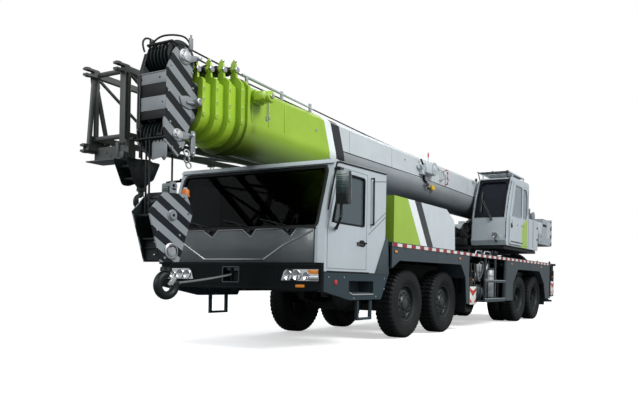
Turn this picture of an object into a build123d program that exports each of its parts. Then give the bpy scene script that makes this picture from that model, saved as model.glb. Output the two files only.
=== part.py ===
# Truck crane: four-axle carrier with a five-section telescopic boom, in millimetres.
# +X points forward, +Y to the left, +Z up; the origin is on the ground under the middle.
import os

from build123d import *

os.makedirs("parts", exist_ok=True)

# Carrier
half_width = 1375          # half of the carrier's overall width
deck_top = 1500            # top of the deck plate
deck_plate = 60            # depth of the deck plate with its folded edge
deck_front_x = 3320
deck_rear_x = -6330
skirt_plate = 30           # thickness of the side panels
liner_plate = 20           # thickness of the wheel arch liners
liner_inner_y = half_width - 495  # inner edge of the liners
rail_half = 400            # half width over the frame rails
rail_wall = 90
frame_top = 1250
frame_bottom = 720
frame_rear_x = -6380
frame_split_x = 700        # behind this the frame is one closed box
rail_bracket_x = 3240
nose_rail_top = 980
nose_rail_bottom = 740
fit_gap = 0.3              # gap between pieces that rest on each other
run_gap = 6                # gap between pieces that slide past each other

# Wheels and axles
tyre_radius = 562.5
tyre_width = 310
rim_radius = 290
rim_wall = 14
front_track_y = half_width - 330
rear_outer_y = half_width - 270
twin_spacing = 340
axle_1_x = 2450
front_spacing = 1450
middle_spacing = 4300
rear_spacing = 1350
axle_x = [
    axle_1_x,
    axle_1_x - front_spacing,
    axle_1_x - front_spacing - middle_spacing,
    axle_1_x - front_spacing - middle_spacing - rear_spacing,
]
kingpin_y = front_track_y - 245
kingpin_radius = 35
knuckle_height = 160
yoke_low_z = tyre_radius - knuckle_height / 2
yoke_high_z = tyre_radius + knuckle_height / 2
spring_y = 480
spring_width = 80
spring_length = 1250
axle_beam_half = 70
spare_x = frame_rear_x - 165
spare_z = 1275
tow_eye_x = frame_rear_x - 60
tow_eye_z = 640
tow_eye_height = 90
tow_eye_radius = 26

# Driver's cab
cab_rear_x = 3450
cab_front_x = 5050
cab_half = half_width - 45
cab_floor_z = 1020
cab_sill_z = 1570          # lower edge of the windscreen
cab_roof_front_z = 2460
cab_roof_rear_z = 2500
cab_roof_front_x = 4800
cab_wall = 50
door_rear_x = 3980
door_front_x = 4930
door_bottom_z = 1060
door_top_z = 2385
door_gap = 6
glass_thickness = 10
window_frame = 60          # width of the frame around the door's window
window_sill_z = 1650
screen_half = cab_half - 95
bumper_front_x = 5110
bumper_rear_x = 4760
bumper_top_z = 1125
bumper_bottom_z = 780
valance_rear_x = 3420
valance_plate = 60
tow_recess_y = -85
tow_recess_z = 965
tow_recess_width = 265
tow_recess_height = 185

# Engine hood
hood_front_x = 3270
hood_rear_x = 950
hood_top_z = 2200
hood_wall = 40

# Outriggers
front_box_x = 10           # middle of the front outrigger box
rear_box_x = -6040
box_length = 420
box_wall = 12
box_half_y = half_width - 285
beam_floor_z = 690         # inner floor of the box
beam_height = 300
beam_wall = 16
beam_end_y = half_width - 265  # outer end of the stowed beam
beam_length = 2 * beam_end_y + 30
jack_y = half_width - 175
jack_barrel_radius = 88
jack_rod_radius = 62
jack_top_z = 1415
jack_mouth_z = 520
float_radius = 178
float_height = 50
front_float_z = 350
rear_float_z = 430

# Superstructure
slew_x = -3000
ring_radius = 700
pedestal_top_z = 1600
turntable_bottom_z = 1690
turntable_plate = 90
mast_plate_y = 400         # inner face of the two plates that carry the boom
mast_plate = 50
boom_pivot_x = -4700
boom_pivot_z = 2750
pivot_radius = 80
luff_foot_x = -2900
luff_foot_z = 1950
luff_eye_x = 300
luff_eye_z = 2380
luff_barrel_radius = 150
luff_rod_radius = 95
luff_eye_radius = 100
luff_pin_radius = 50
luff_eye_half = 55
counterweight_half = 1250
counterweight_front_x = -5000
counterweight_rear_x = -6430
counterweight_bottom_z = 2000
counterweight_top_z = 2740

# Operator's cab
op_right_y = 450
op_left_y = 1300
op_floor_z = 1790
op_rear_x = -3850
op_front_x = -2110
op_top_front_x = -2520
op_top_z = 3400
op_wall = 45
op_door_rear_x = -3260
op_door_front_x = -2330
op_door_thickness = 30
cabinet_rear_x = -4700
cabinet_top_z = 2560

# Boom: each section lies inside the one before it
boom_half = 380
boom_top_z = 3370
boom_centre_z = 2900       # centre of the round underside
boom_step = 42             # how much smaller each section is, on every side
boom_wall = 10
boom_tail_x = -4150
boom_corner = 60
collar_plate = 45
collar_rim = 38            # how far a collar stands out of its tube
section_tail_step = 60     # each inner section starts this much further forward
# front end of each section's collar
collar_x = [5520, 5690, 5860, 6030, 6180]
ear_height = 230
head_half = 225            # outer face of the head's side plates
head_plate = 25
head_front_x = 6500
head_sheave_x = 6240
head_sheave_z = 3450
head_sheave_radius = 195
low_sheave_x = 6330
low_sheave_z = 2530
low_sheave_radius = 178
sheave_bank_half = 165
sheave_count = 6
sheave_pitch = 2 * sheave_bank_half / sheave_count
groove_depth = 28

# Hook block
hook_plate_half = 140
hook_plate = 22
hook_sheave_radius = 200
hook_x = low_sheave_x + low_sheave_radius - hook_sheave_radius
hook_sheave_z = 1620
hang_x = 6250              # the point that the block swings about
hang_z = 2330
rope_radius = 11
aux_y = -450               # the second, smaller hook hangs beside the head
aux_arm_z = 2560
jib_near_y = -620          # the lattice jib is stowed along the right side of the boom
jib_far_y = -1190
jib_front_x = 6350
jib_rear_x = -2300

sides = [("left", 1), ("right", -1)]


def save(piece, name):
    piece.part.label = name
    export_step(piece.part, f"parts/{name}.step")


def block(x_range, y_range, z_range, mode=Mode.ADD):
    """A box between two values on each axis."""
    centre = [sum(pair) / 2 for pair in (x_range, y_range, z_range)]
    size = [abs(pair[1] - pair[0]) for pair in (x_range, y_range, z_range)]
    with Locations(tuple(centre)):
        Box(*size, mode=mode)


def side_plate(outline, y_start, y_end, mode=Mode.ADD):
    """A flat shape seen from the side, its (x, z) outline carried from one y to another."""
    with BuildSketch(Plane.XZ.offset(-y_start)) as shape:
        with BuildLine():
            Polyline(*outline, close=True)
        make_face()
    extrude(shape.sketch, amount=-(y_end - y_start), mode=mode)


def front_plate(outline, x_start, x_end, mode=Mode.ADD):
    """A flat shape seen from the front, its (y, z) outline carried from one x to another."""
    with BuildSketch(Plane.YZ.offset(x_start)) as shape:
        with BuildLine():
            Polyline(*outline, close=True)
        make_face()
    extrude(shape.sketch, amount=x_end - x_start, mode=mode)


def round_bar(start, end, radius, mode=Mode.ADD):
    """A round bar from one point to another."""
    run = Vector(*end) - Vector(*start)
    with BuildSketch(Plane(origin=start, z_dir=run)) as section:
        Circle(radius)
    extrude(section.sketch, amount=run.length, mode=mode)


def boom_outline(shrink, x):
    """The boom's cross-section at x: square above, round below, smaller by shrink on every side."""
    half = boom_half - shrink
    top = boom_top_z - shrink
    corner = max(boom_corner - shrink / 3, 10)
    with BuildSketch(Plane.YZ.offset(x)) as section:
        with BuildLine():
            upper = Polyline(
                (half, boom_centre_z),
                (half, top - corner),
                (half - corner, top),
                (-half + corner, top),
                (-half, top - corner),
                (-half, boom_centre_z),
            )
            ThreePointArc(upper @ 1, (0, boom_centre_z - half), upper @ 0)
        make_face()
    return section.sketch


# Front of the frame: two rails beside the engine and two lower rails under the cab
with BuildPart() as frame_rails:
    for side in (1, -1):
        rail = (side * (rail_half - rail_wall), side * rail_half)
        block((frame_split_x + fit_gap, deck_front_x), rail, (frame_bottom, frame_top))
        block((deck_front_x, bumper_rear_x - run_gap), rail, (nose_rail_bottom, nose_rail_top))
    for cross_x in (3250, 4300):
        block((cross_x, cross_x + 80), (-rail_half, rail_half), (nose_rail_bottom + 20, nose_rail_top - 60))
    # bracket that carries the front of the deck
    block(
        (rail_bracket_x - 30, rail_bracket_x + 30),
        (-rail_half, rail_half),
        (frame_top - 10, frame_top + 60),
    )
    block(
        (rail_bracket_x - 30, rail_bracket_x + 30),
        (-half_width + 75, half_width - 75),
        (frame_top + 50, deck_top - deck_plate - fit_gap),
    )
save(frame_rails, "frame_rails")

# Rear of the frame: a closed box with the pedestal of the slewing ring
with BuildPart() as chassis_frame:
    block((frame_rear_x, frame_split_x), (-rail_half, rail_half), (frame_bottom, frame_top))
    with Locations((slew_x, 0, (frame_top + pedestal_top_z) / 2)):
        Cylinder(ring_radius, pedestal_top_z - frame_top)
    # brackets that carry the deck
    for bracket_x in (560, -560, -1900, -2500, -5400):
        bracket = (bracket_x - 30, bracket_x + 30)
        block(bracket, (-rail_half, rail_half), (frame_top - 10, frame_top + 60))
        block(bracket, (-half_width + 75, half_width - 75), (frame_top + 50, deck_top - deck_plate - fit_gap))
    # the outrigger boxes pass through below
    for box_x in (front_box_x, rear_box_x):
        block(
            (box_x - box_length / 2 - fit_gap, box_x + box_length / 2 + fit_gap),
            (-rail_half - 10, rail_half + 10),
            (frame_bottom - 10, beam_floor_z + beam_height + 2 * run_gap + box_wall + fit_gap),
            mode=Mode.SUBTRACT,
        )
    # upright and pin that carry the spare wheel
    block((frame_rear_x, frame_rear_x + 60), (-110, 110), (frame_top, spare_z + 90))
    round_bar((frame_rear_x, 0, spare_z), (spare_x + 20 + fit_gap, 0, spare_z), 60)
    # tow eye at the tail
    block((frame_rear_x, frame_rear_x + 80), (-70, 70), (tow_eye_z - tow_eye_height / 2, frame_bottom + 10))
    eye_height = (tow_eye_z - tow_eye_height / 2, tow_eye_z + tow_eye_height / 2)
    block((tow_eye_x - 70, frame_rear_x + 80), (-70, 70), eye_height)
    with Locations((tow_eye_x, 0, tow_eye_z)):
        Cylinder(tow_eye_radius, tow_eye_height + 20, mode=Mode.SUBTRACT)
save(chassis_frame, "chassis_frame")

# Engine: one plain block between the rails
with BuildPart() as engine_block:
    block((1250, 2650), (-300, 300), (frame_bottom + 30, 1930))
    for mount_x in (1450, 2450):
        for side in (1, -1):
            mount = (side * 290, side * (rail_half - rail_wall - fit_gap))
            block((mount_x - 60, mount_x + 60), mount, (frame_bottom + 200, frame_bottom + 320))
save(engine_block, "engine_block")

# Deck plate, open around the slewing ring and over the engine
with BuildPart() as deck:
    block((deck_rear_x, deck_front_x), (-half_width, half_width), (deck_top - deck_plate, deck_top))
    with Locations((slew_x, 0, deck_top - deck_plate / 2)):
        Cylinder(ring_radius + 60, deck_plate * 2, mode=Mode.SUBTRACT)
    block((1150, 2750), (-340, 340), (deck_top - deck_plate - 10, deck_top + 10), mode=Mode.SUBTRACT)
    # room for the jack barrels
    for box_x in (front_box_x, rear_box_x):
        for side in (1, -1):
            block(
                (box_x - box_length / 2, box_x + box_length / 2),
                (side * (beam_end_y - 50), side * (half_width + 10)),
                (deck_top - deck_plate - 10, deck_top + 10),
                mode=Mode.SUBTRACT,
            )
save(deck, "deck")

# Side panels with their wheel arches, and the arch liners
skirt_top_z = deck_top - deck_plate
front_arch = [(3320, 1105), (3050, 1240), (660, 1260), (410, 1000), (350, 510)]
rear_arch = [(-2440, 530), (-2460, 930), (-2820, 1260), (-4670, 1260), (-5130, 920), (-5280, 530)]
with BuildPart() as side_skirts:
    for side in (1, -1):
        panel = (side * (half_width - skirt_plate), side * half_width)
        side_plate([(3320, skirt_top_z), *front_arch, (240, 510), (240, skirt_top_z)], *panel)
        side_plate(
            [(-1960, skirt_top_z), (-1960, 530), *rear_arch, (-5690, 530), (-5690, skirt_top_z)], *panel
        )
        for arch in (front_arch[:4], rear_arch[1:5]):
            liner = [*arch, *[(x, z + liner_plate) for x, z in reversed(arch)]]
            side_plate(liner, side * liner_inner_y, side * half_width)
        # the panels' ends carry the liner up to the deck
        for rib_x in (3000, 700, -2900, -4650):
            block(
                (rib_x - 20, rib_x + 20),
                (side * liner_inner_y, side * half_width),
                (1262, skirt_top_z - fit_gap),
            )
save(side_skirts, "side_skirts")

# Engine hood: a shell that is open below
hood_outline = [
    (hood_front_x, deck_top + fit_gap),
    (hood_front_x, hood_top_z),
    (1360, hood_top_z),
    (1040, 2050),
    (980, 1960),
    (hood_rear_x, deck_top + fit_gap),
]
hood_inside = [
    (hood_front_x - hood_wall, deck_top - 10),
    (hood_front_x - hood_wall, hood_top_z - hood_wall),
    (1360 + hood_wall / 3, hood_top_z - hood_wall),
    (1040 + hood_wall, 2050 - hood_wall / 2),
    (980 + hood_wall, 1960),
    (hood_rear_x + hood_wall, deck_top - 10),
]
with BuildPart() as engine_hood:
    side_plate(hood_outline, -half_width + 5, half_width - 5)
    side_plate(hood_inside, -half_width + 5 + hood_wall, half_width - 5 - hood_wall, mode=Mode.SUBTRACT)
save(engine_hood, "engine_hood")

# Cab: roof, floor, rear wall, pillars and front panel around an open inside
cab_outline = [
    (cab_rear_x, cab_floor_z),
    (cab_front_x - 40, cab_floor_z),
    (cab_front_x, bumper_top_z),
    (cab_front_x, cab_sill_z),
    (cab_roof_front_x, cab_roof_front_z - 50),
    (cab_roof_front_x - 90, cab_roof_front_z),
    (cab_rear_x, cab_roof_rear_z),
]
cab_inside = [
    (cab_rear_x + cab_wall, cab_floor_z + cab_wall),
    (cab_front_x - cab_wall, cab_floor_z + cab_wall),
    (cab_front_x - cab_wall, cab_sill_z),
    (cab_roof_front_x - cab_wall, cab_roof_front_z - 50),
    (cab_roof_front_x - 90 - cab_wall, cab_roof_front_z - cab_wall),
    (cab_rear_x + cab_wall, cab_roof_rear_z - cab_wall),
]
rake = (cab_front_x - cab_roof_front_x) / (cab_roof_front_z - 50 - cab_sill_z)
screen_bottom_z = cab_sill_z + 25
screen_top_z = cab_roof_front_z - 70


def screen_x(z):
    """The x of the windscreen's outer face at a height."""
    return cab_front_x - rake * (z - cab_sill_z)


def door_outline(gap):
    """The outline of a cab door, drawn in from its opening by a gap."""
    top_front_x = screen_x(door_top_z) - (cab_front_x - door_front_x) + 20
    return [
        (door_rear_x + gap, door_bottom_z + gap),
        (door_front_x - gap, door_bottom_z + gap),
        (door_front_x - gap, cab_sill_z),
        (top_front_x - gap, door_top_z - gap),
        (door_rear_x + gap, door_top_z - gap),
    ]


def window_outline(gap):
    """The outline of a cab door's window, drawn in from its opening by a gap."""
    front_x = screen_x(window_sill_z) - (cab_front_x - door_front_x) - window_frame
    top_z = door_top_z - window_frame
    front_top_x = screen_x(top_z) - (cab_front_x - door_front_x) - window_frame
    return [
        (door_rear_x + window_frame + gap, window_sill_z + gap),
        (front_x - gap, window_sill_z + gap),
        (front_top_x - gap, top_z - gap),
        (door_rear_x + window_frame + gap, top_z - gap),
    ]


screen_cut = [
    (screen_x(screen_bottom_z) - 90, screen_bottom_z),
    (screen_x(screen_bottom_z) + 60, screen_bottom_z),
    (screen_x(screen_top_z) + 60, screen_top_z),
    (screen_x(screen_top_z) - 90, screen_top_z),
]
with BuildPart() as cab_shell:
    side_plate(cab_outline, -cab_half, cab_half)
    front_corners = cab_shell.edges().filter_by(Axis.Z).group_by(Axis.X)[-1]
    chamfer(front_corners, 60)
    side_plate(cab_inside, -cab_half + cab_wall, cab_half - cab_wall, mode=Mode.SUBTRACT)
    side_plate(screen_cut, -screen_half, screen_half, mode=Mode.SUBTRACT)
    for side in (1, -1):
        opening = (side * (cab_half - cab_wall - 10), side * (cab_half + 10))
        side_plate(door_outline(0), *opening, mode=Mode.SUBTRACT)
    # feet that stand on the frame's nose
    for foot_x in (3600, 4500):
        for side in (1, -1):
            foot = (side * (rail_half - rail_wall), side * rail_half)
            block((foot_x - 60, foot_x + 60), foot, (nose_rail_top + fit_gap, cab_floor_z + 10))
save(cab_shell, "cab_shell")

# Windscreen, set in its opening
with BuildPart() as cab_glass:
    pane_gap = 0.5
    inset = 25
    side_plate(
        [
            (screen_x(screen_bottom_z + pane_gap) - inset, screen_bottom_z + pane_gap),
            (screen_x(screen_bottom_z + pane_gap) - inset + glass_thickness, screen_bottom_z + pane_gap),
            (screen_x(screen_top_z - pane_gap) - inset + glass_thickness, screen_top_z - pane_gap),
            (screen_x(screen_top_z - pane_gap) - inset, screen_top_z - pane_gap),
        ],
        -screen_half + pane_gap,
        screen_half - pane_gap,
    )
save(cab_glass, "cab_glass")

# Seats, dashboard and steering wheel
seat_base_x = 4000
cab_inner_floor = cab_floor_z + cab_wall
seat_columns_y = (700, -150, -750)
with BuildPart() as cab_seats:
    for seat_y in seat_columns_y:
        wide = (seat_y - 240, seat_y + 240)
        base = (cab_inner_floor + fit_gap, 1420)
        block((seat_base_x - 180, seat_base_x + 180), (seat_y - 160, seat_y + 160), base)
        block((seat_base_x - 240, seat_base_x + 270), wide, (1420, 1560))
        side_plate(
            [
                (seat_base_x - 240, 1500),
                (seat_base_x - 120, 1500),
                (seat_base_x - 220, 2180),
                (seat_base_x - 320, 2180),
            ],
            *wide,
        )
save(cab_seats, "cab_seats")

with BuildPart() as cab_dashboard:
    side_plate(
        [
            (4640, cab_inner_floor + fit_gap),
            (cab_front_x - cab_wall - fit_gap, cab_inner_floor + fit_gap),
            (cab_front_x - cab_wall - fit_gap, 1540),
            (4700, 1590),
            (4560, 1480),
        ],
        -cab_half + cab_wall + 60,
        cab_half - cab_wall - 60,
    )
    # steering column and wheel
    round_bar((4660, seat_columns_y[0], 1450), (4480, seat_columns_y[0], 1660), 35)
    wheel_axis = Vector(-180, 0, 210).normalized()
    with BuildSketch(Plane(origin=(4480, seat_columns_y[0], 1660), z_dir=wheel_axis)) as wheel_face:
        Circle(225)
        Circle(190, mode=Mode.SUBTRACT)
        Rectangle(400, 50)
    extrude(wheel_face.sketch, amount=24, both=True)
save(cab_dashboard, "cab_dashboard")

# Cab doors, each with its glass and its mirror
door_inner_y = cab_half - cab_wall
for side_name, side in sides:
    outer = side * cab_half
    inner = side * door_inner_y
    with BuildPart() as cab_door:
        side_plate(door_outline(door_gap), inner, outer)
        side_plate(window_outline(0), inner - side * 10, outer + side * 10, mode=Mode.SUBTRACT)
        # handle
        block((4080, 4230), (outer, outer + side * 22), (1395, 1435))
        # two hinge straps that reach the front pillar
        for hinge_z in (1200, 1500):
            block(
                (door_front_x - 40, door_front_x - fit_gap),
                (outer - side * 24, outer),
                (hinge_z - 40, hinge_z + 40),
            )
        # mirror on two arms, bolted to the door's face
        mirror_y = side * (cab_half + 190)
        mirror_x = 4870
        seat_y = outer + side * fit_gap
        block((mirror_x - 30, mirror_x + 30), (mirror_y - 95, mirror_y + 95), (1875, 2280))
        block((mirror_x + 31, mirror_x + 55), (mirror_y - 14, mirror_y + 14), (1700, 2310))
        block((mirror_x + 20, mirror_x + 40), (mirror_y - 14, mirror_y + 14), (1900, 2270))
        arm_y = seat_y + side * 18
        round_bar((mirror_x + 43, mirror_y, 1710), (4760, arm_y, 1580), 14)
        round_bar((mirror_x + 43, mirror_y, 2295), (4640, arm_y, 2358), 14)
        with BuildSketch(Plane.XZ.offset(-seat_y)) as pads:
            with Locations((4760, 1580), (4640, 2356)):
                Circle(22)
        extrude(pads.sketch, amount=-side * 30)
    save(cab_door, f"cab_door_{side_name}")

    with BuildPart() as door_glass:
        middle = (inner + outer) / 2
        side_plate(window_outline(0.5), middle - side * 5, middle + side * 5)
    save(door_glass, f"door_glass_{side_name}")

# Bumper across the front with the valances that run back to the wheel arch
valance_outline = [
    (bumper_front_x, bumper_top_z),
    (bumper_front_x, bumper_bottom_z),
    (4440, 650),
    (3630, 650),
    (valance_rear_x, cab_floor_z - 15),
    (cab_front_x + 5, cab_floor_z - 15),
    (cab_front_x + 5, bumper_top_z),
]
with BuildPart() as front_bumper:
    block((cab_front_x + 5, bumper_front_x), (-half_width, half_width), (bumper_bottom_z, bumper_top_z))
    block(
        (bumper_rear_x, cab_front_x + 5),
        (-half_width, half_width),
        (bumper_bottom_z, bumper_bottom_z + 25),
    )
    # arms that bolt onto the ends of the frame
    for side in (1, -1):
        arm = (side * (rail_half - 150), side * rail_half)
        block((bumper_rear_x - run_gap + fit_gap, cab_front_x + 10), arm, (bumper_bottom_z + 20, 960))
        side_plate(valance_outline, side * (half_width - valance_plate), side * half_width)
        # entry step cut into the valance
        step = (side * (half_width - valance_plate - 10), side * (half_width + 10))
        block((3850, 4480), step, (745, 905), mode=Mode.SUBTRACT)
        # stirrup step below
        stirrup = (side * (half_width - valance_plate), side * (half_width - 20))
        block((3850, 3890), stirrup, (370, 660))
        block((4190, 4230), stirrup, (370, 660))
        block((3850, 4230), stirrup, (370, 400))
        # inner plate that closes the valance against the cab floor
        block(
            (3800, bumper_rear_x),
            (side * (half_width - 330), side * (half_width - valance_plate + 5)),
            (cab_floor_z - 40, cab_floor_z - 15),
        )
    # towing pin in its recess
    with Locations((bumper_front_x - 30, tow_recess_y, tow_recess_z)):
        Box(120, tow_recess_width, tow_recess_height, mode=Mode.SUBTRACT)
    with Locations((bumper_front_x - 25, tow_recess_y, tow_recess_z)):
        Cylinder(22, 210)
save(front_bumper, "front_bumper")

# Headlamps in the bumper's face
with BuildPart() as headlamps:
    for side in (1, -1):
        front_plate(
            [
                (side * 742, 888),
                (side * 1352, 888),
                (side * 1352, 1048),
                (side * 840, 1048),
                (side * 790, 1020),
            ],
            bumper_front_x + fit_gap,
            bumper_front_x + 14,
        )
        block((bumper_front_x + fit_gap, bumper_front_x + 12), (side * 1000, side * 1135), (812, 848))
save(headlamps, "headlamps")

# Axles: beams across the frame, drive axles with their round casings
with BuildPart() as axle_beams:
    for place, x in enumerate(axle_x):
        if place < 2:
            block((x - axle_beam_half, x + axle_beam_half), (-560, 560), (420, 540))
            for side in (1, -1):
                # raised ends with a yoke above and below the knuckle
                outer_y = (side * 560, side * (kingpin_y + 60))
                block((x - 60, x + 60), (side * 550, side * 700), (420, yoke_high_z + 60))
                block((x - 60, x + 60), outer_y, (yoke_high_z, yoke_high_z + 60))
                block((x - 60, x + 60), outer_y, (420, yoke_low_z))
                round_bar((x, side * kingpin_y, 430), (x, side * kingpin_y, yoke_high_z + 50), kingpin_radius)
        else:
            round_bar((x, -620, tyre_radius), (x, 620, tyre_radius), 95)
            round_bar((x - 190, 0, tyre_radius), (x + 190, 0, tyre_radius), 150)
            for side in (1, -1):
                hub_end = side * (rear_outer_y + tyre_width / 2 - 60)
                round_bar((x, side * 600, tyre_radius), (x, hub_end, tyre_radius), 62)
save(axle_beams, "axle_beams")

# Springs: one stack of leaves at each wheel, hung from the frame's side
leaf_count = 3
leaf_height = 26
with BuildPart() as leaf_springs:
    for place, x in enumerate(axle_x):
        seat_z = 540 + fit_gap if place < 2 else tyre_radius + 95 + fit_gap
        for side in (1, -1):
            wide = (side * (spring_y - spring_width / 2), side * (spring_y + spring_width / 2))
            for leaf in range(leaf_count):
                reach = spring_length / 2 - leaf * 150
                low = seat_z + (leaf_count - 1 - leaf) * leaf_height
                block((x - reach, x + reach), wide, (low, low + leaf_height))
            top_z = seat_z + leaf_count * leaf_height
            for end in (1, -1):
                hanger_x = x + end * (spring_length / 2 - 40)
                hanger_y = (side * (rail_half + fit_gap), wide[1])
                block((hanger_x - 35, hanger_x + 35), hanger_y, (top_z - leaf_height, nose_rail_top - 60))
save(leaf_springs, "leaf_springs")


def revolved_ring(centre, outline):
    """A ring about an axle: its (radius, y) outline turned about the line through the centre."""
    x, z = centre
    with BuildSketch(Plane(origin=(x, 0, z), x_dir=(0, 0, 1), z_dir=(1, 0, 0))) as ring:
        with BuildLine():
            Polyline(*[(radius, -y) for radius, y in outline], close=True)
        make_face()
    revolve(ring.sketch, axis=Axis((x, 0, z), (0, 1, 0)))


def tyre_outline(middle_y):
    half = tyre_width / 2
    return [
        (rim_radius + fit_gap, middle_y - half * 0.75),
        (rim_radius + 60, middle_y - half * 0.95),
        (tyre_radius - 120, middle_y - half),
        (tyre_radius - 35, middle_y - half * 0.92),
        (tyre_radius, middle_y - half * 0.72),
        (tyre_radius, middle_y + half * 0.72),
        (tyre_radius - 35, middle_y + half * 0.92),
        (tyre_radius - 120, middle_y + half),
        (rim_radius + 60, middle_y + half * 0.95),
        (rim_radius + fit_gap, middle_y + half * 0.75),
    ]


# Steering knuckles between the yokes of the front axles, each with its stub axle
stub_radius = 45
for place in (0, 1):
    x = axle_x[place]
    for side_name, side in sides:
        with BuildPart() as knuckle:
            with Locations((x, side * kingpin_y, tyre_radius)):
                Cylinder(70, knuckle_height - 2 * fit_gap)
            stub_start = (x, side * (kingpin_y + 50), tyre_radius)
            round_bar(stub_start, (x, side * (front_track_y + 80), tyre_radius), stub_radius)
            with Locations((x, side * kingpin_y, tyre_radius)):
                Cylinder(kingpin_radius + fit_gap, 300, mode=Mode.SUBTRACT)
        save(knuckle, f"knuckle_{place + 1}_{side_name}")

# Wheels: single on the two front axles, twin on the two rear axles
for place, x in enumerate(axle_x):
    for side_name, side in sides:
        with BuildPart() as wheel:
            centre = (x, tyre_radius)
            if place < 2:
                revolved_ring(centre, tyre_outline(side * front_track_y))
                face = front_track_y + 60
                bore = stub_radius + fit_gap
                disc = [
                    (bore, side * (face - 120)),
                    (bore, side * (face + 60)),
                    (115, side * (face + 60)),
                    (135, side * (face + 30)),
                    (rim_radius - rim_wall, side * (face + 12)),
                    (rim_radius - rim_wall, side * (front_track_y + 116)),
                    (rim_radius, side * (front_track_y + 116)),
                    (rim_radius, side * (front_track_y - 116)),
                    (rim_radius - rim_wall, side * (front_track_y - 116)),
                    (rim_radius - rim_wall, side * (face - 12)),
                    (135, side * (face - 12)),
                    (115, side * (face - 120)),
                ]
                revolved_ring(centre, disc)
            else:
                inner_y = rear_outer_y - twin_spacing
                revolved_ring(centre, tyre_outline(side * rear_outer_y))
                revolved_ring(centre, tyre_outline(side * inner_y))
                face = rear_outer_y - twin_spacing / 2
                bore = 62 + fit_gap
                disc = [
                    (bore, side * (face - 150)),
                    (bore, side * (face + 190)),
                    (125, side * (face + 190)),
                    (145, side * (face + 30)),
                    (rim_radius - rim_wall, side * (face + 12)),
                    (rim_radius - rim_wall, side * (rear_outer_y + 116)),
                    (rim_radius, side * (rear_outer_y + 116)),
                    (rim_radius, side * (inner_y - 116)),
                    (rim_radius - rim_wall, side * (inner_y - 116)),
                    (rim_radius - rim_wall, side * (face - 12)),
                    (145, side * (face - 30)),
                    (125, side * (face - 150)),
                ]
                revolved_ring(centre, disc)
        save(wheel, f"wheel_{place + 1}_{side_name}")

# Spare wheel, upright across the tail, on its bracket
with BuildPart() as spare_wheel:
    with BuildSketch(Plane.YZ.offset(spare_x - tyre_width / 2)) as spare_ring:
        with Locations((0, spare_z)):
            Circle(tyre_radius)
            Circle(rim_radius, mode=Mode.SUBTRACT)
    extrude(spare_ring.sketch, amount=tyre_width)
    chamfer(spare_wheel.edges().filter_by(GeomType.CIRCLE).group_by(SortBy.RADIUS)[-1], 40)
    with BuildSketch(Plane.YZ.offset(spare_x - 20)) as spare_disc:
        with Locations((0, spare_z)):
            Circle(rim_radius)
            with PolarLocations(190, 8):
                Circle(30, mode=Mode.SUBTRACT)
    extrude(spare_disc.sketch, amount=40)
save(spare_wheel, "spare_wheel")


# Outrigger boxes: two cells side by side, one for each beam
cell_width = (box_length - 3 * box_wall) / 2
beam_width = cell_width - 2 * run_gap
beam_places = []           # name, box middle x, beam middle x, side, height of the stowed float
for box_name, box_x, float_z in (("front", front_box_x, front_float_z), ("rear", rear_box_x, rear_float_z)):
    for side_name, side in sides:
        beam_x = box_x + side * (cell_width + box_wall) / 2
        beam_places.append((f"{box_name}_{side_name}", box_x, beam_x, side, float_z))

box_top_z = beam_floor_z + beam_height + 2 * run_gap
with BuildPart() as outrigger_boxes:
    for box_x in (front_box_x, rear_box_x):
        shell_x = (box_x - box_length / 2, box_x + box_length / 2)
        block(shell_x, (-box_half_y, box_half_y), (beam_floor_z - box_wall, box_top_z + box_wall))
        for side in (1, -1):
            cell_x = box_x + side * (cell_width + box_wall) / 2
            block(
                (cell_x - cell_width / 2, cell_x + cell_width / 2),
                (-box_half_y - 10, box_half_y + 10),
                (beam_floor_z, box_top_z),
                mode=Mode.SUBTRACT,
            )
save(outrigger_boxes, "outrigger_boxes")

for name, box_x, beam_x, side, float_z in beam_places:
    wide = (beam_x - beam_width / 2, beam_x + beam_width / 2)
    tall = (beam_floor_z + fit_gap, beam_floor_z + fit_gap + beam_height)
    with BuildPart() as beam:
        block(wide, (side * (beam_end_y - beam_length), side * beam_end_y), tall)
        block(
            (wide[0] + beam_wall, wide[1] - beam_wall),
            (side * (beam_end_y - beam_length - 10), side * (beam_end_y - 40)),
            (tall[0] + beam_wall, tall[1] - beam_wall),
            mode=Mode.SUBTRACT,
        )
        # jack barrel at the end, with the board across its front
        with Locations((beam_x, side * jack_y, (jack_mouth_z + jack_top_z) / 2)):
            Cylinder(jack_barrel_radius, jack_top_z - jack_mouth_z)
        block((beam_x - 80, beam_x + 80), (side * (beam_end_y - 5), side * jack_y), (jack_mouth_z + 60, tall[1]))
        block(
            (beam_x - 95, beam_x + 95),
            (side * (jack_y + jack_barrel_radius - 20), side * (half_width - 20)),
            (beam_floor_z - 120, tall[1] + 30),
        )
        with Locations((beam_x, side * jack_y, (jack_mouth_z + jack_top_z) / 2 - 15)):
            Cylinder(jack_rod_radius + fit_gap, jack_top_z - jack_mouth_z, mode=Mode.SUBTRACT)
    save(beam, f"beam_{name}")
    with BuildPart() as jack:
        rod_top = jack_top_z - 60
        with Locations((beam_x, side * jack_y, (float_z + float_height + rod_top) / 2)):
            Cylinder(jack_rod_radius, rod_top - float_z - float_height)
        with Locations((beam_x, side * jack_y, float_z + float_height / 2)):
            Cylinder(float_radius, float_height)
        with Locations((beam_x, side * jack_y, float_z + float_height + 20)):
            Cone(120, jack_rod_radius, 40)
    save(jack, f"jack_{name}")

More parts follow.
